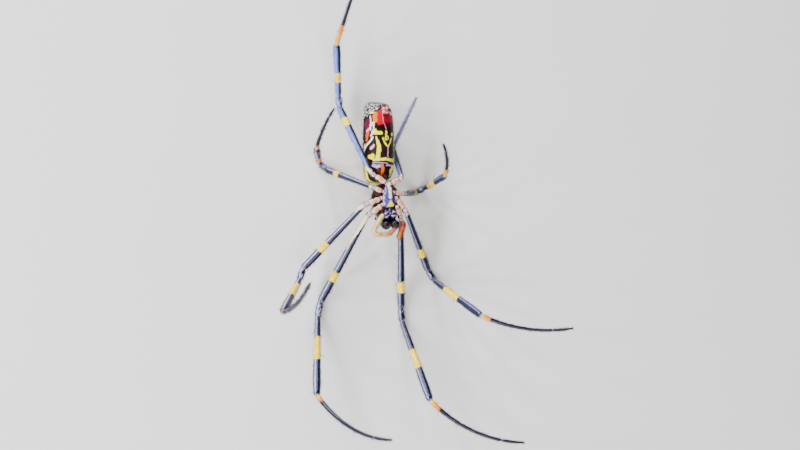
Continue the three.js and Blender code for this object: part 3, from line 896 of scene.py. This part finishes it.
def lean(t):
    """How far a point slides along the body for each millimetre that it lies above the middle."""
    return FRONT_LEAN * (1 - t) ** 2 - REAR_LEAN * t ** 2


def abdomen_point(t, angle, out=0.0):
    """A point of the abdomen. The angle is from the middle of the belly, towards the right side."""
    g = girth(t)
    x = (ABDOMEN_HALF_WIDTH * g + out) * np.sin(angle)
    z = (ABDOMEN_HALF_HEIGHT * g + out) * np.cos(angle)
    y = (t - 0.5) * ABDOMEN_LENGTH + lean(t) * z
    cos, sin = math.cos(ABDOMEN_YAW), math.sin(ABDOMEN_YAW)
    cx, cy, cz = ABDOMEN_CENTRE
    return np.stack([cx + x * cos - y * sin, cy + y * cos + x * sin, cz + z], -1)


def belly_z(y):
    """Height of the middle of the belly at y."""
    height, t = 0.0, 0.5
    for _ in range(8):
        t = min(max((y - ABDOMEN_CENTRE[1] - lean(t) * height) / ABDOMEN_LENGTH + 0.5, 0), 1)
        height = ABDOMEN_HALF_HEIGHT * float(girth(t))
    return ABDOMEN_CENTRE[2] + height


def stroke(where, points, half):
    """Distance in millimetres inside a rounded stroke, under 0 outside. Points are (degrees
    from the middle of the belly, millimetres from MARKS_Y towards the tail) on the abdomen."""
    at = np.array([(math.radians(a) * ABDOMEN_RADIUS, y) for a, y in points])
    halves = np.full(len(at), half, float) if np.isscalar(half) else np.array(half, float)
    if len(at) == 1:
        at = np.concatenate([at, at + [[1e-4, 0]]])
        halves = np.concatenate([halves, halves])
    best = np.full(where.shape[:-1], -99.0)
    for a, b, ra, rb in zip(at, at[1:], halves, halves[1:]):
        d = b - a
        t = np.clip(((where - a) @ d) / (d @ d), 0, 1)
        gap = np.linalg.norm(where - a - t[..., None] * d, axis=-1)
        best = np.maximum(best, ra + (rb - ra) * t - gap)
    return best


# Marks of the belly and left flank, painted in this order: colour, half width, points.
MARKS = (
    (BELLY_BROWN, 0.45, ((2, -1.2), (0, -3.1))),
    (BELLY_BROWN, 0.3, ((38, -1.6), (37, -3.0))),
    (PLUM, (0.35, 0.6, 0.45), ((-60, 3.6), (-64, 2.8), (-67, 2.0))),
    (PEACH, (0.32, 0.42, 0.25), ((-59, 1.5), (-63, 0.8), (-68, -0.1))),
    (ROSE, 0.14, ((-52, 2.2), (-66, 1.4))),
    (PALE, 0.13, ((-50, 4.3), (-47, 3.6), (-50, 1.8))),
    (PALE, 0.2, ((-35, 3.2), (-41, 2.9), (-49, 2.5))),
    (PALE, 0.13, ((-34, 2.7), (-37, 2.0))),
    (CRIMSON, (0.9, 1.1, 0.85), ((8, 4.0), (26, 3.9), (48, 3.7))),
    (WINE, (0.3, 0.4, 0.3), ((18, 2.9), (34, 2.8), (48, 3.0))),
    (SCARLET, (0.5, 0.75, 0.6), ((-15, 4.9), (-12, 4.0), (-11, 3.1))),
    (ORANGE, (0.32, 0.45, 0.28), ((-29, 4.8), (-32, 4.2), (-30, 3.3))),
    (BELLY_DARK, (0.5, 0.6, 0.5), ((-14, 2.2), (0, 2.1), (24, 2.0))),
    (YELLOW, (0.24, 0.36, 0.34, 0.28), ((-32, 1.7), (-30, 1.2), (-20, 1.15), (-9, 1.2))),
    (PALE, 0.11, ((-39, 1.7), (-38, 0.9))),
    (YELLOW, (0.14, 0.3, 0.4, 0.38, 0.42),
     ((-27, 0.35), (-21, -0.5), (-17, -1.5), (-21, -2.6), (-24, -3.6))),
    (YELLOW, 0.24, ((-38, -3.8), (-20, -3.7))),
    (PALE_YELLOW, (0.24, 0.26, 0.26, 0.3), ((-20, -3.75), (4, -3.6), (26, -3.65), (66, -3.9))),
    (PALE_YELLOW, 0.17, ((10, 1.5), (10, 0.9))),
    (PALE_YELLOW, 0.48, ((13, 0.3),)),
    (BELLY_DARK, 0.2, ((13, 0.28),)),
    (PALE_YELLOW, 0.16, ((-3, 0.2), (2, -0.5), (14, -1.2))),
    (PALE_YELLOW, 0.15, ((34, 0.2), (29, -0.6), (18, -1.3))),
    (ROSE, 0.11, ((17, -1.4), (16, -3.1))),
    (PALE_YELLOW, 0.32, ((41, 1.0),)),
    (PALE_YELLOW, (0.1, 0.12, 0.15, 0.2, 0.24), ((68, 3.7), (66, 1.5), (60, -0.6), (64, -2.4), (67, -3.8))),
    (PALE, (0.16, 0.2, 0.16, 0.12), ((-41, 0.3), (-55, -0.5), (-74, -1.4), (-86, -2.6))),
    (PALE, 0.14, ((-43, 1.4), (-47, 0.6))),
    (ROSE, 0.17, ((-49, -1.8), (-37, -1.0))),
    (PALE, 0.1, ((-78, -0.9), (-86, -3.0))),
    (YELLOW, (0.42, 0.5, 0.35), ((-54, -3.2), (-46, -3.25), (-41, -2.9))),
    (LILAC, 0.09, ((-42, -4.35), (-16, -4.3), (15, -4.35))),
    (LILAC, (0.26, 0.32, 0.24), ((-42, -4.85), (-28, -5.0), (-16, -4.85))),
    (LILAC, 0.15, ((12, -4.7), (50, -4.7))),
    (EPIGYNE, (0.34, 0.42), ((-23, -5.7), (-16, -6.4))),
    (ORANGE, (0.3, 0.42, 0.4, 0.26), ((-6, -4.8), (-2, -5.4), (-4, -5.9), (-6, -6.4))),
    (BELLY_DARK, 0.34, ((14, -5.4), (22, -5.4))),
    (PALE_YELLOW, (0.3, 0.36, 0.38, 0.3), ((66, -4.8), (46, -5.2), (40, -5.7), (50, -6.5))),
    (YELLOW, (0.16, 0.34, 0.5), ((-83, -5.0), (-80, -6.2), (-90, -7.2))),
    (PINK, 0.09, ((6, 6.7), (-1, 5.6), (-1, 4.2), (2, 3.0), (10, 1.9))),
    (ROSE, 0.13, ((-1, 5.6), (33, 6.3), (70, 6.0))),
    (PINK, 0.12, ((2, 5.4), (24, 5.2), (66, 5.0))),
    (WINE, 0.16, ((21, 5.85),)),
    (WINE, 0.18, ((46, 5.75),)),
    (ROSE, 0.28, ((38, 4.9), (62, 4.9))),
    (PALE_YELLOW, 0.17, ((-50, 4.9), (-38, 4.95))),
    (PALE, 0.14, ((-95, 5.2), (-93, 2.9), (-96, 0.8), (-103, -2.0), (-110, -4.8), (-116, -6.8))),
)
# Marks of the left flank that are also painted on the right one, as its mirror image.
MIRRORED = tuple(m for m in MARKS if all(a < -46 for a, _ in m[2]))
BACK_BANDS = (-5.2, -2.4, 0.4, 3.0, 5.3)
BACK_EDGE = 122


def with_marks(colour, where, marks):
    for shade, half, spots in marks:
        colour = mix(colour, shade, step(-0.05, 0.05, stroke(where, spots, half)))
    return colour


def flank_and_tail(colour, where, degrees, points):
    """A net of pale lines on the flanks and round the tail."""
    y = where[..., 1]
    wide = cell_edges(where, 1.0, 41)
    cells = mix(BELLY_DARK, YELLOW, 0.8 * step(0.24, 0.34, wide) * step(0.0, 0.5, ripple(points, 2.4, 47)))
    cells = mix(cells, PALE, 1 - step(0.05, 0.11, wide))
    flank = step(58, 64, degrees) * (1 - step(BACK_EDGE - 4, BACK_EDGE + 2, degrees))
    front_left = (where[..., 0] < 0) & (y < 5.0) & (degrees < 96)
    colour = mix(colour, cells, np.where(front_left, 0.0, flank))
    left = -np.degrees(where[..., 0] / ABDOMEN_RADIUS)
    start = 5.9 - 0.024 * np.clip(left, 0, 80) + 0.2 * ripple(points, 0.9, 49)
    tail = step(start - 0.1, start + 0.1, y) * step(8, 20, left)
    tail = np.maximum(tail, step(5.4, 5.8, y) * step(60, 76, degrees))
    tail = np.maximum(tail, step(6.4, 6.8, y))
    net = mix(BELLY_DARK, GREY_WHITE, 1 - step(0.025, 0.085, cell_edges(where, 0.66, 43)))
    return mix(colour, net, tail)


def saddle(y, degrees, grain):
    """The back: yellow with grey-green bands between dark lines."""
    bands = np.full(y.shape, 9.0)
    for at in BACK_BANDS:
        bands = np.minimum(bands, np.abs(y - at - 0.25 * np.cos(np.radians(degrees) * 3)))
    colour = mix(BACK_YELLOW, GREY_TEAL, 1 - step(0.48, 0.56, bands))
    colour = mix(colour, BELLY_DARK, 0.85 * bell(bands - 0.62, 0.09))
    return mix(colour, PALE_YELLOW, 0.4 * step(0.2, 0.9, grain))


def paint_abdomen(angle, points):
    """Colour of the abdomen at points of it and their angle round it."""
    turned = either_way(angle)
    plain = np.stack([turned * ABDOMEN_RADIUS, points[..., 1] - MARKS_Y], -1)
    where = plain + np.stack([ripple(points, 1.0, 31), ripple(points, 1.0, 37)], -1) * 0.06
    grain = ripple(points, 0.5, 7)
    colour = mix(BELLY_DARK, BELLY_BROWN, 0.3 + 0.3 * grain)
    degrees = np.degrees(np.abs(where[..., 0] / ABDOMEN_RADIUS - BELLY_MIDLINE))
    y = where[..., 1]
    colour = flank_and_tail(colour, where, degrees, points)
    colour = with_marks(colour, where, MARKS)
    mirrored = where * [-1, 1] + [2 * BELLY_MIDLINE * ABDOMEN_RADIUS, 0]
    colour = with_marks(colour, mirrored, MIRRORED)
    back = step(BACK_EDGE - 2, BACK_EDGE + 2, degrees + 3 * np.sin(1.3 * y)) * step(6.4, 6.0, y)
    colour = mix(colour, saddle(y, degrees, grain), back)
    return mix(colour, BELLY_DARK, 0.8 * step(-7.2, -7.7, y) * step(80, 60, degrees))


def abdomen_relief(t, angle):
    """How far the skin stands out from the plain form, in millimetres."""
    along = abdomen_point(t, angle)[..., 1] - MARKS_Y
    turned = either_way(angle)
    degrees = np.degrees(turned)
    where = np.stack([turned * ABDOMEN_RADIUS, along], -1)
    relief = -0.12 * bell(along + 4.12, 0.15) * (1 - step(60, 75, np.abs(degrees)))
    relief = relief + 0.1 * step(-0.3, 0.4, stroke(where, ((-23, -5.7), (-4, -5.9)), 0.4))
    for side in (-48, 58):
        relief = relief + 0.07 * step(-0.4, 0.5, stroke(where, ((side, -5.0), (side, -5.7)), 0.6))
    for at in (-4.1, -1.5, 1.1, 3.4):
        for side in (160, -150):
            relief = relief - 0.07 * step(-0.1, 0.2, stroke(where, ((side, at),), 0.16))
    middle = 1 - np.abs(2 * t - 1) ** 4
    folds = np.sin(along * 3.4 + 1.5 * np.sin(turned * 2)) * (0.3 + 0.7 * (np.abs(degrees) > 60))
    return relief + middle * 0.022 * folds


def make_abdomen():
    rows, sides = 340, 288
    end = 0.012
    t, angle = grid(bunched(rows, end, 1 - end), sides)
    plain = abdomen_point(t, angle)
    relief = abdomen_relief(t, angle) + 0.02 * ripple(plain, 1.6, 51) * girth(t)
    skin = turned_out(*closed(abdomen_point(t, angle, relief - SKIN_SUNK)))
    paint = with_poles(paint_abdomen(angle, plain))
    both = joined([(*skin, paint), pedicel_skin()])
    make("abdomen_skin", both, ABDOMEN_SKIN, ["abdomen", "pedicel"])


def pedicel_skin():
    """The narrow waist, flared at both ends where it meets the body."""
    path, s = even([PEDICEL_FROM, PEDICEL_TO], 0.06)
    share = s / s[-1]
    radii = 0.4 + 0.22 * np.abs(2 * share - 1) ** 3 + 0.03 * np.sin(share * 26)
    skin = tube(path, domed(radii, s))
    return *skin, mottled(MAROON, rgb("#5a3028"), skin[0], 0.6, 61)


def surface_frame(point, t, angle, middle, ahead=0.004, beside=0.02):
    """Directions along, across and out of a form at places on it, away from its middle."""
    plain = point(t, angle)
    along = unit(point(np.minimum(t + ahead, 0.999), angle) - plain)
    across = unit(point(t, angle + beside) - plain)
    out = unit(np.cross(across, along))
    out = out * np.sign((out * (plain - np.array(middle))).sum(1, keepdims=True))
    return along, across, out


def abdomen_hair():
    """Short, fine hairs all over the abdomen, that lie towards the tail."""
    draw = np.random.RandomState(7)
    count = ABDOMEN_HAIRS
    t = draw.uniform(0.012, 0.985, count)
    angle = draw.uniform(-math.pi, math.pi, count)
    keep = draw.uniform(size=count) < girth(t)
    t, angle = t[keep], angle[keep]
    roots = abdomen_point(t, angle, abdomen_relief(t, angle) - SKIN_SUNK)
    along, across, out = surface_frame(abdomen_point, t, angle, ABDOMEN_CENTRE)
    lie = unit(along + 0.3 * across * draw.normal(size=(len(t), 1)))
    lengths = draw.uniform(0.2, 0.4, len(t))
    colour = mix(paint_abdomen(angle, abdomen_point(t, angle)) * 0.9, rgb("#a08868"), 0.05)
    uv = unwrapped(angle / TURN + 0.5, t)
    coat("abdomen_hairs", roots, out, lie, lengths, 0.018, 0.9, colour, uv)


def make_spinnerets():
    """The silk glands' cones at the tail, on a low collar, with the small knob behind them."""
    x, y = SPINNERET_PLACE
    base = np.array([x, y, belly_z(y)])
    brown, rose = rgb("#6a2c30"), rgb("#e08a94")
    parts = []

    def cone(start, end, wide, narrow, tint, knots=()):
        start, end = base + start, base + end
        path, s = even([start, end], 0.035)
        share = s / s[-1]
        radii = wide + (narrow - wide) * share ** 1.3 + 0.03 * np.sin(share * 30) * (1 - share)
        for at in knots:
            radii = radii * (1 - 0.16 * bell(share - at, 0.05))
        skin = tube(path, domed(radii, s), 24, (0, 1, 0))
        height = (skin[0] - start) @ unit(end - start) / s[-1]
        colour = mix(tint, rgb("#3a1c22"), 0.8 * step(0.8, 1.0, height) + 0.3 * ripple(skin[0], 0.4, 71))
        parts.append((*skin, colour))

    cone((0, 0, -0.6), (0, 0, 0.42), 0.86, 0.72, brown)
    for side in (-1, 1):
        cone((0.34 * side, -0.34, 0.1), (0.187 * side, -0.247, 1.02), 0.35, 0.17, rose, (0.62,))
        cone((0.33 * side, 0.36, 0.1), (0.198 * side, 0.116, 0.98), 0.33, 0.14, rose, (0.55, 0.8))
        cone((0.14 * side, 0.02, 0.2), (0.14 * side, 0.02, 0.8), 0.16, 0.08, rose)
    cone((0, 0.9, -0.35), (0, 1.05, 0.3), 0.36, 0.16, brown, (0.6,))
    cone((0, -0.8, -0.2), (0, -0.72, 0.34), 0.2, 0.08, brown)
    make("spinneret_cluster", joined(parts), PALP_SKIN, ["spinnerets"])


# Front of the body

def carapace_point(s, angle, out=0.0):
    """A point of the carapace: s runs from its rear to its front, and the angle round it from
    the belly side, towards the right."""
    c = CARAPACE
    thorax = bell(s - 0.38, 0.36)
    width = c["head"] + (c["half_width"] - c["head"]) * thorax
    ring = rounded(s, 3.2)
    head = 0.86 + 0.18 * step(0.45, 0.8, s)
    x = np.sin(angle) * (width * ring + out)
    up = np.cos(angle)
    z = np.where(up < 0, up * (c["depth"] * head * ring + out), up * 0.3 * ring)
    return np.stack([x, c["rear_y"] - s * c["length"], c["rim_z"] + z], -1)


def from_belly(angle):
    """Degrees from the belly side, either way round."""
    return np.degrees(np.abs(either_way(angle)))


def carapace_relief(s, angle):
    """Head swelling, the grooves beside it, the pit in the middle of the back and the rim."""
    x = np.sin(angle) * 2.6
    down = step(0.1, -0.5, np.cos(angle))
    groove = np.abs(np.abs(x) - 0.25 - 2.4 * (s - 0.42))
    relief = -0.16 * bell(groove, 0.2) * step(0.4, 0.5, s) * (1 - step(0.8, 0.95, s))
    relief = relief + 0.16 * step(0.5, 0.7, s) * bell(x, 1.1)
    relief = relief - 0.3 * np.exp(-((s - 0.36) / 0.035) ** 2 - (x / 0.5) ** 2)
    reach = step(0.5, 1.2, np.abs(x)) * (1 - step(2.0, 2.5, np.abs(x)))
    for k in (-1, 0, 1):
        spoke = np.abs((s - 0.36) * 7.4 - k * 1.1 * np.abs(x) - 0.1)
        relief = relief - 0.05 * bell(spoke, 0.16) * reach
    return relief * down + 0.07 * bell(from_belly(angle) - 92, 5)


def paint_carapace(s, angle, points):
    grain = ripple(points, 0.5, 81)
    colour = mix(CARAPACE_BROWN, rgb("#4a3c34"), 0.4 + 0.4 * grain)
    x = np.abs(points[..., 0])
    head = step(0.62, 0.72, s) * (1 - step(1.2, 1.7, x))
    colour = mix(colour, rgb("#15100f"), 0.8 * head)
    return mix(colour, MAROON, 0.6 * bell(from_belly(angle) - 95, 9))


def make_carapace():
    rows, sides = 110, 120
    s, angle = grid(bunched(rows, 0.04, 0.97), sides)
    rings = carapace_point(s, angle, carapace_relief(s, angle))
    skin = (*closed(rings), with_poles(paint_carapace(s, angle, rings)))
    make("carapace_shell", skin, BODY_SHELL, ["carapace"], head=True)


def carapace_down():
    """Silvery down on the back, thickest on the thorax."""
    draw = np.random.RandomState(9)
    count = CARAPACE_HAIRS
    s = draw.uniform(0.02, 0.97, count)
    angle = math.pi + draw.uniform(-1.62, 1.62, count)
    roots = carapace_point(s, angle, carapace_relief(s, angle))
    plain = carapace_point(s, angle)
    along, across, out = surface_frame(carapace_point, s, angle, (0, -4.2, 8.85), 0.01, 0.03)
    head = step(0.62, 0.72, s) * (1 - step(1.0, 1.5, np.abs(plain[:, 0])))
    eyes = np.array([(x * side, y, z) for x, y, z in EYES.values() for side in (-1, 1)])
    clear = np.linalg.norm(roots[:, None] - eyes, axis=2).min(1) > 0.34
    keep = (draw.uniform(size=count) > 0.75 * head) & clear
    side = np.sign(np.sin(angle))[:, None]
    lie = unit(along * (0.6 + 0.3 * draw.normal(size=(count, 1))) - across * side * 0.5)
    colour = mix(SILVER, rgb("#9a8f80"), 0.35 + 0.4 * ripple(roots, 0.8, 91))
    uv = unwrapped(angle / TURN, s)
    lengths = draw.uniform(0.22, 0.4, count)
    roots, out, lie, lengths, colour, uv = (v[keep] for v in (roots, out, lie, lengths, colour, uv))
    coat("carapace_hairs", roots, out, lie, lengths, 0.035, 1.1, colour, uv, head=True)


def make_flesh():
    """The dark, soft skin between the legs' roots. Its dark red is partly its own colour and partly painted
    shade between the roots.
    """
    rows, sides = 60, 72
    s, angle = grid(bunched(rows, 0.05, 0.95), sides)
    ring = rounded(s, 2.6)
    width = 1.5 + 0.75 * bell(s - 0.45, 0.35)
    x = np.sin(angle) * width * ring
    z = FLESH_Z + np.cos(angle) * FLESH_HALF_HEIGHT * ring
    points = np.stack([x, FLESH_REAR_Y - s * FLESH_LENGTH, z], -1)
    points = points + 0.05 * ripple(points, 0.5, 93)[..., None]
    skin = closed(points)
    colour = mix(MAROON, rgb("#5a1826"), 0.35 + 0.4 * ripple(skin[0], 0.7, 95))
    make("flesh_between_legs", (*skin, colour), ABDOMEN_SKIN, head=True)


STRIPE_X = 0.12
WEDGE_START = 0.66


def sternum_width(s):
    taper = 0.22 + 0.78 * np.sin(np.minimum(1, s * 1.35) * math.pi / 2)
    return STERNUM_HALF_WIDTH * taper * (1 - 0.2 * step(0.86, 1.0, s))


def make_sternum():
    """The plate between the legs, with a low knob opposite each leg."""
    rows, sides = 110, 90
    end = 0.02
    s, angle = grid(np.linspace(end, 1 - end, rows), sides)
    close = np.sqrt(np.clip(1 - np.abs(2 * s - 1) ** 7, 0, 1))
    cos, sin = np.cos(angle), np.sin(angle)
    x = np.sign(sin) * np.abs(sin) ** 0.8 * sternum_width(s) * close
    rise = np.where(cos > 0, STERNUM_RISE * np.abs(cos) ** 0.75, -STERNUM_DEPTH * np.abs(cos))
    z = STERNUM_RIM_Z + rise * close
    y = STERNUM_REAR_Y + s * (STERNUM_FRONT_Y - STERNUM_REAR_Y)
    for at in (0.2, 0.42, 0.64, 0.86):
        near = np.exp(-((s - at) / 0.05) ** 2 - ((np.abs(x) - 0.78 * sternum_width(s)) / 0.22) ** 2)
        z = z + 0.12 * near * (cos > 0)
    skin = turned_out(*closed(np.stack([x, y, z], -1)))
    make("sternum_plate", (*skin, paint_sternum(skin[0])), BODY_SHELL, ["sternum"], head=True)


def paint_sternum(points):
    """Violet-blue with a pale edge, a cream stripe down the middle and a yellow wedge in front. The right
    half is painted dark: painted shade.
    """
    x, y, z = points.T
    back = STERNUM_REAR_Y - y
    share = back / (STERNUM_REAR_Y - STERNUM_FRONT_Y)
    grain = ripple(points, 0.45, 97)
    colour = mix(STERNUM_DARK, STERNUM_VIOLET, 0.7 + 0.4 * grain)
    # Painted shade: the right half is darker.
    colour = mix(colour, STERNUM_DARK, 0.8 * step(0.4, 0.6, x + 0.1 * grain))
    edge = np.abs(x) / np.maximum(sternum_width(share), 0.05) + 0.05 * grain
    colour = mix(colour, rgb("#ddd0ec"), 0.7 * step(0.8, 0.88, edge))
    colour = mix(colour, STERNUM_DARK, step(0.9, 0.96, edge))
    cream = 0.34 - 0.1 * share - np.abs(x - STRIPE_X)
    colour = mix(colour, rgb("#f8e4b0"), step(-0.05, 0.05, cream) * (1 - step(0.58, 0.64, share)))
    wedge = (share - WEDGE_START) * 2.6 - np.abs(x - STRIPE_X)
    colour = mix(colour, RING_PALE, step(-0.05, 0.05, wedge) * (1 - step(0.95, 0.98, share)))
    return mix(colour, MAROON, step(10.35, 10.1, z))


def lobe(points, radii, sides=TUBE_SIDES, gap=0.05):
    """A closed, rounded limb through points, with radii at even shares of its length."""
    path, s = even(spline(points), gap)
    reach = np.interp(s / s[-1], np.linspace(0, 1, len(radii)), radii)
    return tube(path, domed(softened(reach, s, 0.12), s), sides)


def make_mouthparts():
    """Two lobes beside the lip, violet-black with pale, wavy glints that are painted highlights."""
    parts = []
    for side in (-1, 1):
        points = [(0.62 * side, -5.3, 10.1), (0.7 * side, -6.0, 10.45), (0.62 * side, -6.75, 10.55),
                  (0.5 * side, -7.15, 10.5)]
        skin = lobe(points, (0.3, 0.52, 0.62, 0.36))
        x, y, z = skin[0].T
        colour = mottled(MOUTH_VIOLET, rgb("#07050f"), skin[0], 0.45, 101)
        # Painted highlights: pale wavy glints across the top of each lobe.
        for at in (-5.75, -6.45):
            glint = bell(y - at + 0.25 * np.abs(x) + 0.1 * np.sin(5 * x), 0.09)
            colour = mix(colour, rgb("#c4b4ec"), 0.75 * glint * step(10.5, 10.85, z))
        parts.append((*skin, colour))
    skin = lobe([(0, -5.2, 10.3), (0, -5.7, 10.6), (0, -6.3, 10.62)], (0.38, 0.5, 0.24))
    colour = mix(MOUTH_VIOLET, rgb("#c9bfe6"), 0.7 * step(-6.0, -6.25, skin[0][:, 1]))
    parts.append((*skin, colour))
    make("mouth_lobes", joined(parts), BODY_SHELL, ["mouthparts"], head=True)


def make_jaws():
    """The two jaws, and the fang that folds over the end of each."""
    for label, side in SIDES:
        mirror = np.array([side, 1, 1])
        root, tip = np.array(CHELICERA_ROOT) * mirror, np.array(CHELICERA_TIP) * mirror
        middle = (root + tip) / 2 + np.array([0, -0.12, 0])
        jaw = lobe([root, middle, tip], (0.62, 0.8, 0.84, 0.84, 0.8), 36)
        colour = mottled(rgb("#050408"), rgb("#140a14"), jaw[0], 0.6, 103)
        make(f"chelicera_{label}_shell", (*jaw, colour), BLACK_SHELL,
             [f"chelicera_{label}"], head=True)
        fang = lobe(np.array(FANG_POINTS) * mirror, (0.2, 0.17, 0.12, 0.03), 18, 0.03)
        colour = mix(rgb("#3a120a"), rgb("#120608"), step(0.2, 0.9, 1 - np.abs(fang[0][:, 0]) / 1.3))
        make(f"fang_{label}_claw", (*fang, colour), BLACK_SHELL, [f"fang_{label}"], head=True)


PALP_SHAPE = ((0.34, 0), (0.37, 0.1), (0.37, 0.3), (0.31, 0.36), (0.36, 0.42), (0.36, 0.55), (0.3, 0.62),
              (0.34, 0.68), (0.34, 0.82), (0.24, 0.96), (0.12, 1))
PALP_TINTS = {
    "left": (rgb("#fbf0a0"), rgb("#fbe690"), rgb("#fbcc70"), rgb("#f8b468"), rgb("#c04c3c")),
    "right": (rgb("#4a0c08"), rgb("#a42410"), rgb("#dc4c10"), rgb("#f07818"), rgb("#fcc83a")),
}


def make_palps():
    """The two feelers beside the jaws, with their joints and bristles."""
    for label, points, seed in (("left", PALP_LEFT, 111), ("right", PALP_RIGHT, 113)):
        path, s = even(spline(points), 0.06)
        share = s / s[-1]
        radii = domed(softened(table(PALP_SHAPE, share), s, 0.08), s)
        skin = tube(path, radii)
        along = with_poles(np.repeat(share[:, None, None], TUBE_SIDES, 1))[:, 0]
        tint = shades(along, PALP_TINTS[label])
        for at in (0.36, 0.62):
            tint = mix(tint, rgb("#6a3422"), 0.55 * bell(along - at, 0.02))
        tint = mix(tint, tint * 0.6, 0.15 + 0.5 * ripple(skin[0], 0.4, seed))
        make(f"palp_{label}_skin", (*skin, tint), PALP_SKIN, [f"palp_{label}"])
        palp_bristles(label, path, share, radii, seed)


def palp_bristles(label, path, share, radii, seed):
    draw = np.random.RandomState(seed)
    count = PALP_HAIRS
    at = draw.uniform(0.04, 0.99, count)
    angle = draw.uniform(0, TURN, count)
    roots, out, lie = tube_roots(path, share, radii, at, angle)
    colour = mix(shades(at, PALP_TINTS[label]), rgb("#3a1c14"), 0.35 + 0.4 * at)
    uv = unwrapped(angle / TURN, at)
    lengths = draw.uniform(0.22, 0.42, count) * (1 + 0.4 * at)
    coat(f"palp_{label}_bristles", roots, out, lie, lengths, 0.03, 0.75, colour, uv)


def make_eyes():
    rows, sides = 24, 32
    polar, around = grid(np.linspace(0.03, math.pi - 0.03, rows), sides)
    ball = np.stack([np.sin(polar) * np.cos(around), np.sin(polar) * np.sin(around), np.cos(polar)], -1)
    for name, (x, y, z) in EYES.items():
        for label, side in SIDES:
            skin = turned_out(*closed(ball * EYE_RADIUS + np.array([x * side, y, z])))
            colour = mottled(rgb("#060608"), rgb("#1a1210"), skin[0], 0.5, 121)
            node = f"eye_{name}_{label}"
            make(f"{node}_lens", (*skin, colour), EYE_GLASS, [node], head=True)


# Stage

CAMERA_AZIMUTH = math.radians(22)
CAMERA_PITCH = math.radians(3)
CAMERA_DISTANCE = 350.0
MM_PER_PIXEL = 0.184
FRAME_WIDTH = 800
LOOK_AT = (2.668, -8.177, 9.916)

# The arch of small lamps: its lamps, span in degrees, radius, tilt to the left and their size.
ARCH_LAMPS = 9
ARCH_SPAN = 150
ARCH_RADIUS = 0.6
ARCH_TILT = math.radians(54)
ARCH_LAMP_SIZE = 0.08

ROOM_LIGHT = 0.12
FLOOR_REACH = 3.0


def make_camera():
    """The camera looks at the belly from the spider's left, as the photograph does."""
    a, p = CAMERA_AZIMUTH, CAMERA_PITCH
    back = np.array([-math.sin(a) * math.cos(p), -math.sin(p), math.cos(a) * math.cos(p)])
    up = unit(np.array([0, 1, 0]) - back * back[1])
    right = np.cross(up, back)
    eye = np.array(LOOK_AT) + back * CAMERA_DISTANCE
    data = bpy.data.cameras.new("camera")
    data.sensor_width = 36
    data.lens = 36 * CAMERA_DISTANCE / (FRAME_WIDTH * MM_PER_PIXEL)
    data.clip_start, data.clip_end = 0.01, 10
    camera = added("camera", data)
    axes = Matrix((right, up, back)).transposed().to_4x4()
    axes.translation = Vector(place(eye))
    camera.matrix_world = axes
    bpy.context.scene.camera = camera


def make_floor():
    n = Nodes("floor")
    colour = n.blend(n.noise(30, 2.0), (0.78, 0.78, 0.77, 1), (0.82, 0.815, 0.805, 1))
    surface = n.finish(colour, n.patches(4, 0.6, 0.75), n.bump(n.noise(1.2), 0.02, 0.2))
    mesh = bpy.data.meshes.new("floor")
    corners = [(x * FLOOR_REACH, y * FLOOR_REACH, 0) for x, y in ((-1, -1), (1, -1), (1, 1), (-1, 1))]
    mesh.from_pydata(corners, [], [(0, 1, 2, 3)])
    floor = added("floor", mesh)
    mesh.materials.append(surface)


def lamp(name, at, size, power, colour):
    """A soft lamp that shines at the spider."""
    data = bpy.data.lights.new(name, "AREA")
    data.shape = "DISK"
    data.size = size
    data.energy = power
    data.color = colour
    light = added(name, data)
    light.location = at
    light.rotation_euler = (Vector((0, 0, 0.008)) - Vector(at)).to_track_quat("-Z", "Y").to_euler()


def make_lights():
    """A dim room, an arch of small lamps that draws a line of light along every leg, and two
    soft lamps that fill the rest."""
    for i in range(ARCH_LAMPS):
        a = math.radians(ARCH_SPAN * (i / (ARCH_LAMPS - 1) - 0.5))
        middle = np.array([-math.sin(ARCH_TILT), 0, math.cos(ARCH_TILT)]) * math.cos(a) * ARCH_RADIUS
        power = 1.35 + 0.6 * math.sin(a)
        at = middle + [0, math.sin(a) * ARCH_RADIUS, 0]
        lamp(f"arch_{i}", at, ARCH_LAMP_SIZE, power, (0.93, 0.94, 1.0))
    lamp("front", (-0.1, -0.3, 0.5), 0.5, 3.6, (1.0, 0.97, 0.9))
    lamp("tail", (-0.05, 0.5, 0.3), 0.25, 1.6, (0.9, 0.92, 1.0))
    world = bpy.data.worlds.new("world")
    world.use_nodes = True
    background = world.node_tree.nodes["Background"]
    background.inputs["Color"].default_value = (0.8, 0.85, 1.0, 1)
    background.inputs["Strength"].default_value = ROOM_LIGHT
    bpy.context.scene.world = world


make_camera()
make_floor()
make_lights()
make_legs()
make_abdomen()
abdomen_hair()
make_spinnerets()
make_carapace()
carapace_down()
make_flesh()
make_sternum()
make_mouthparts()
make_jaws()
make_palps()
make_eyes()
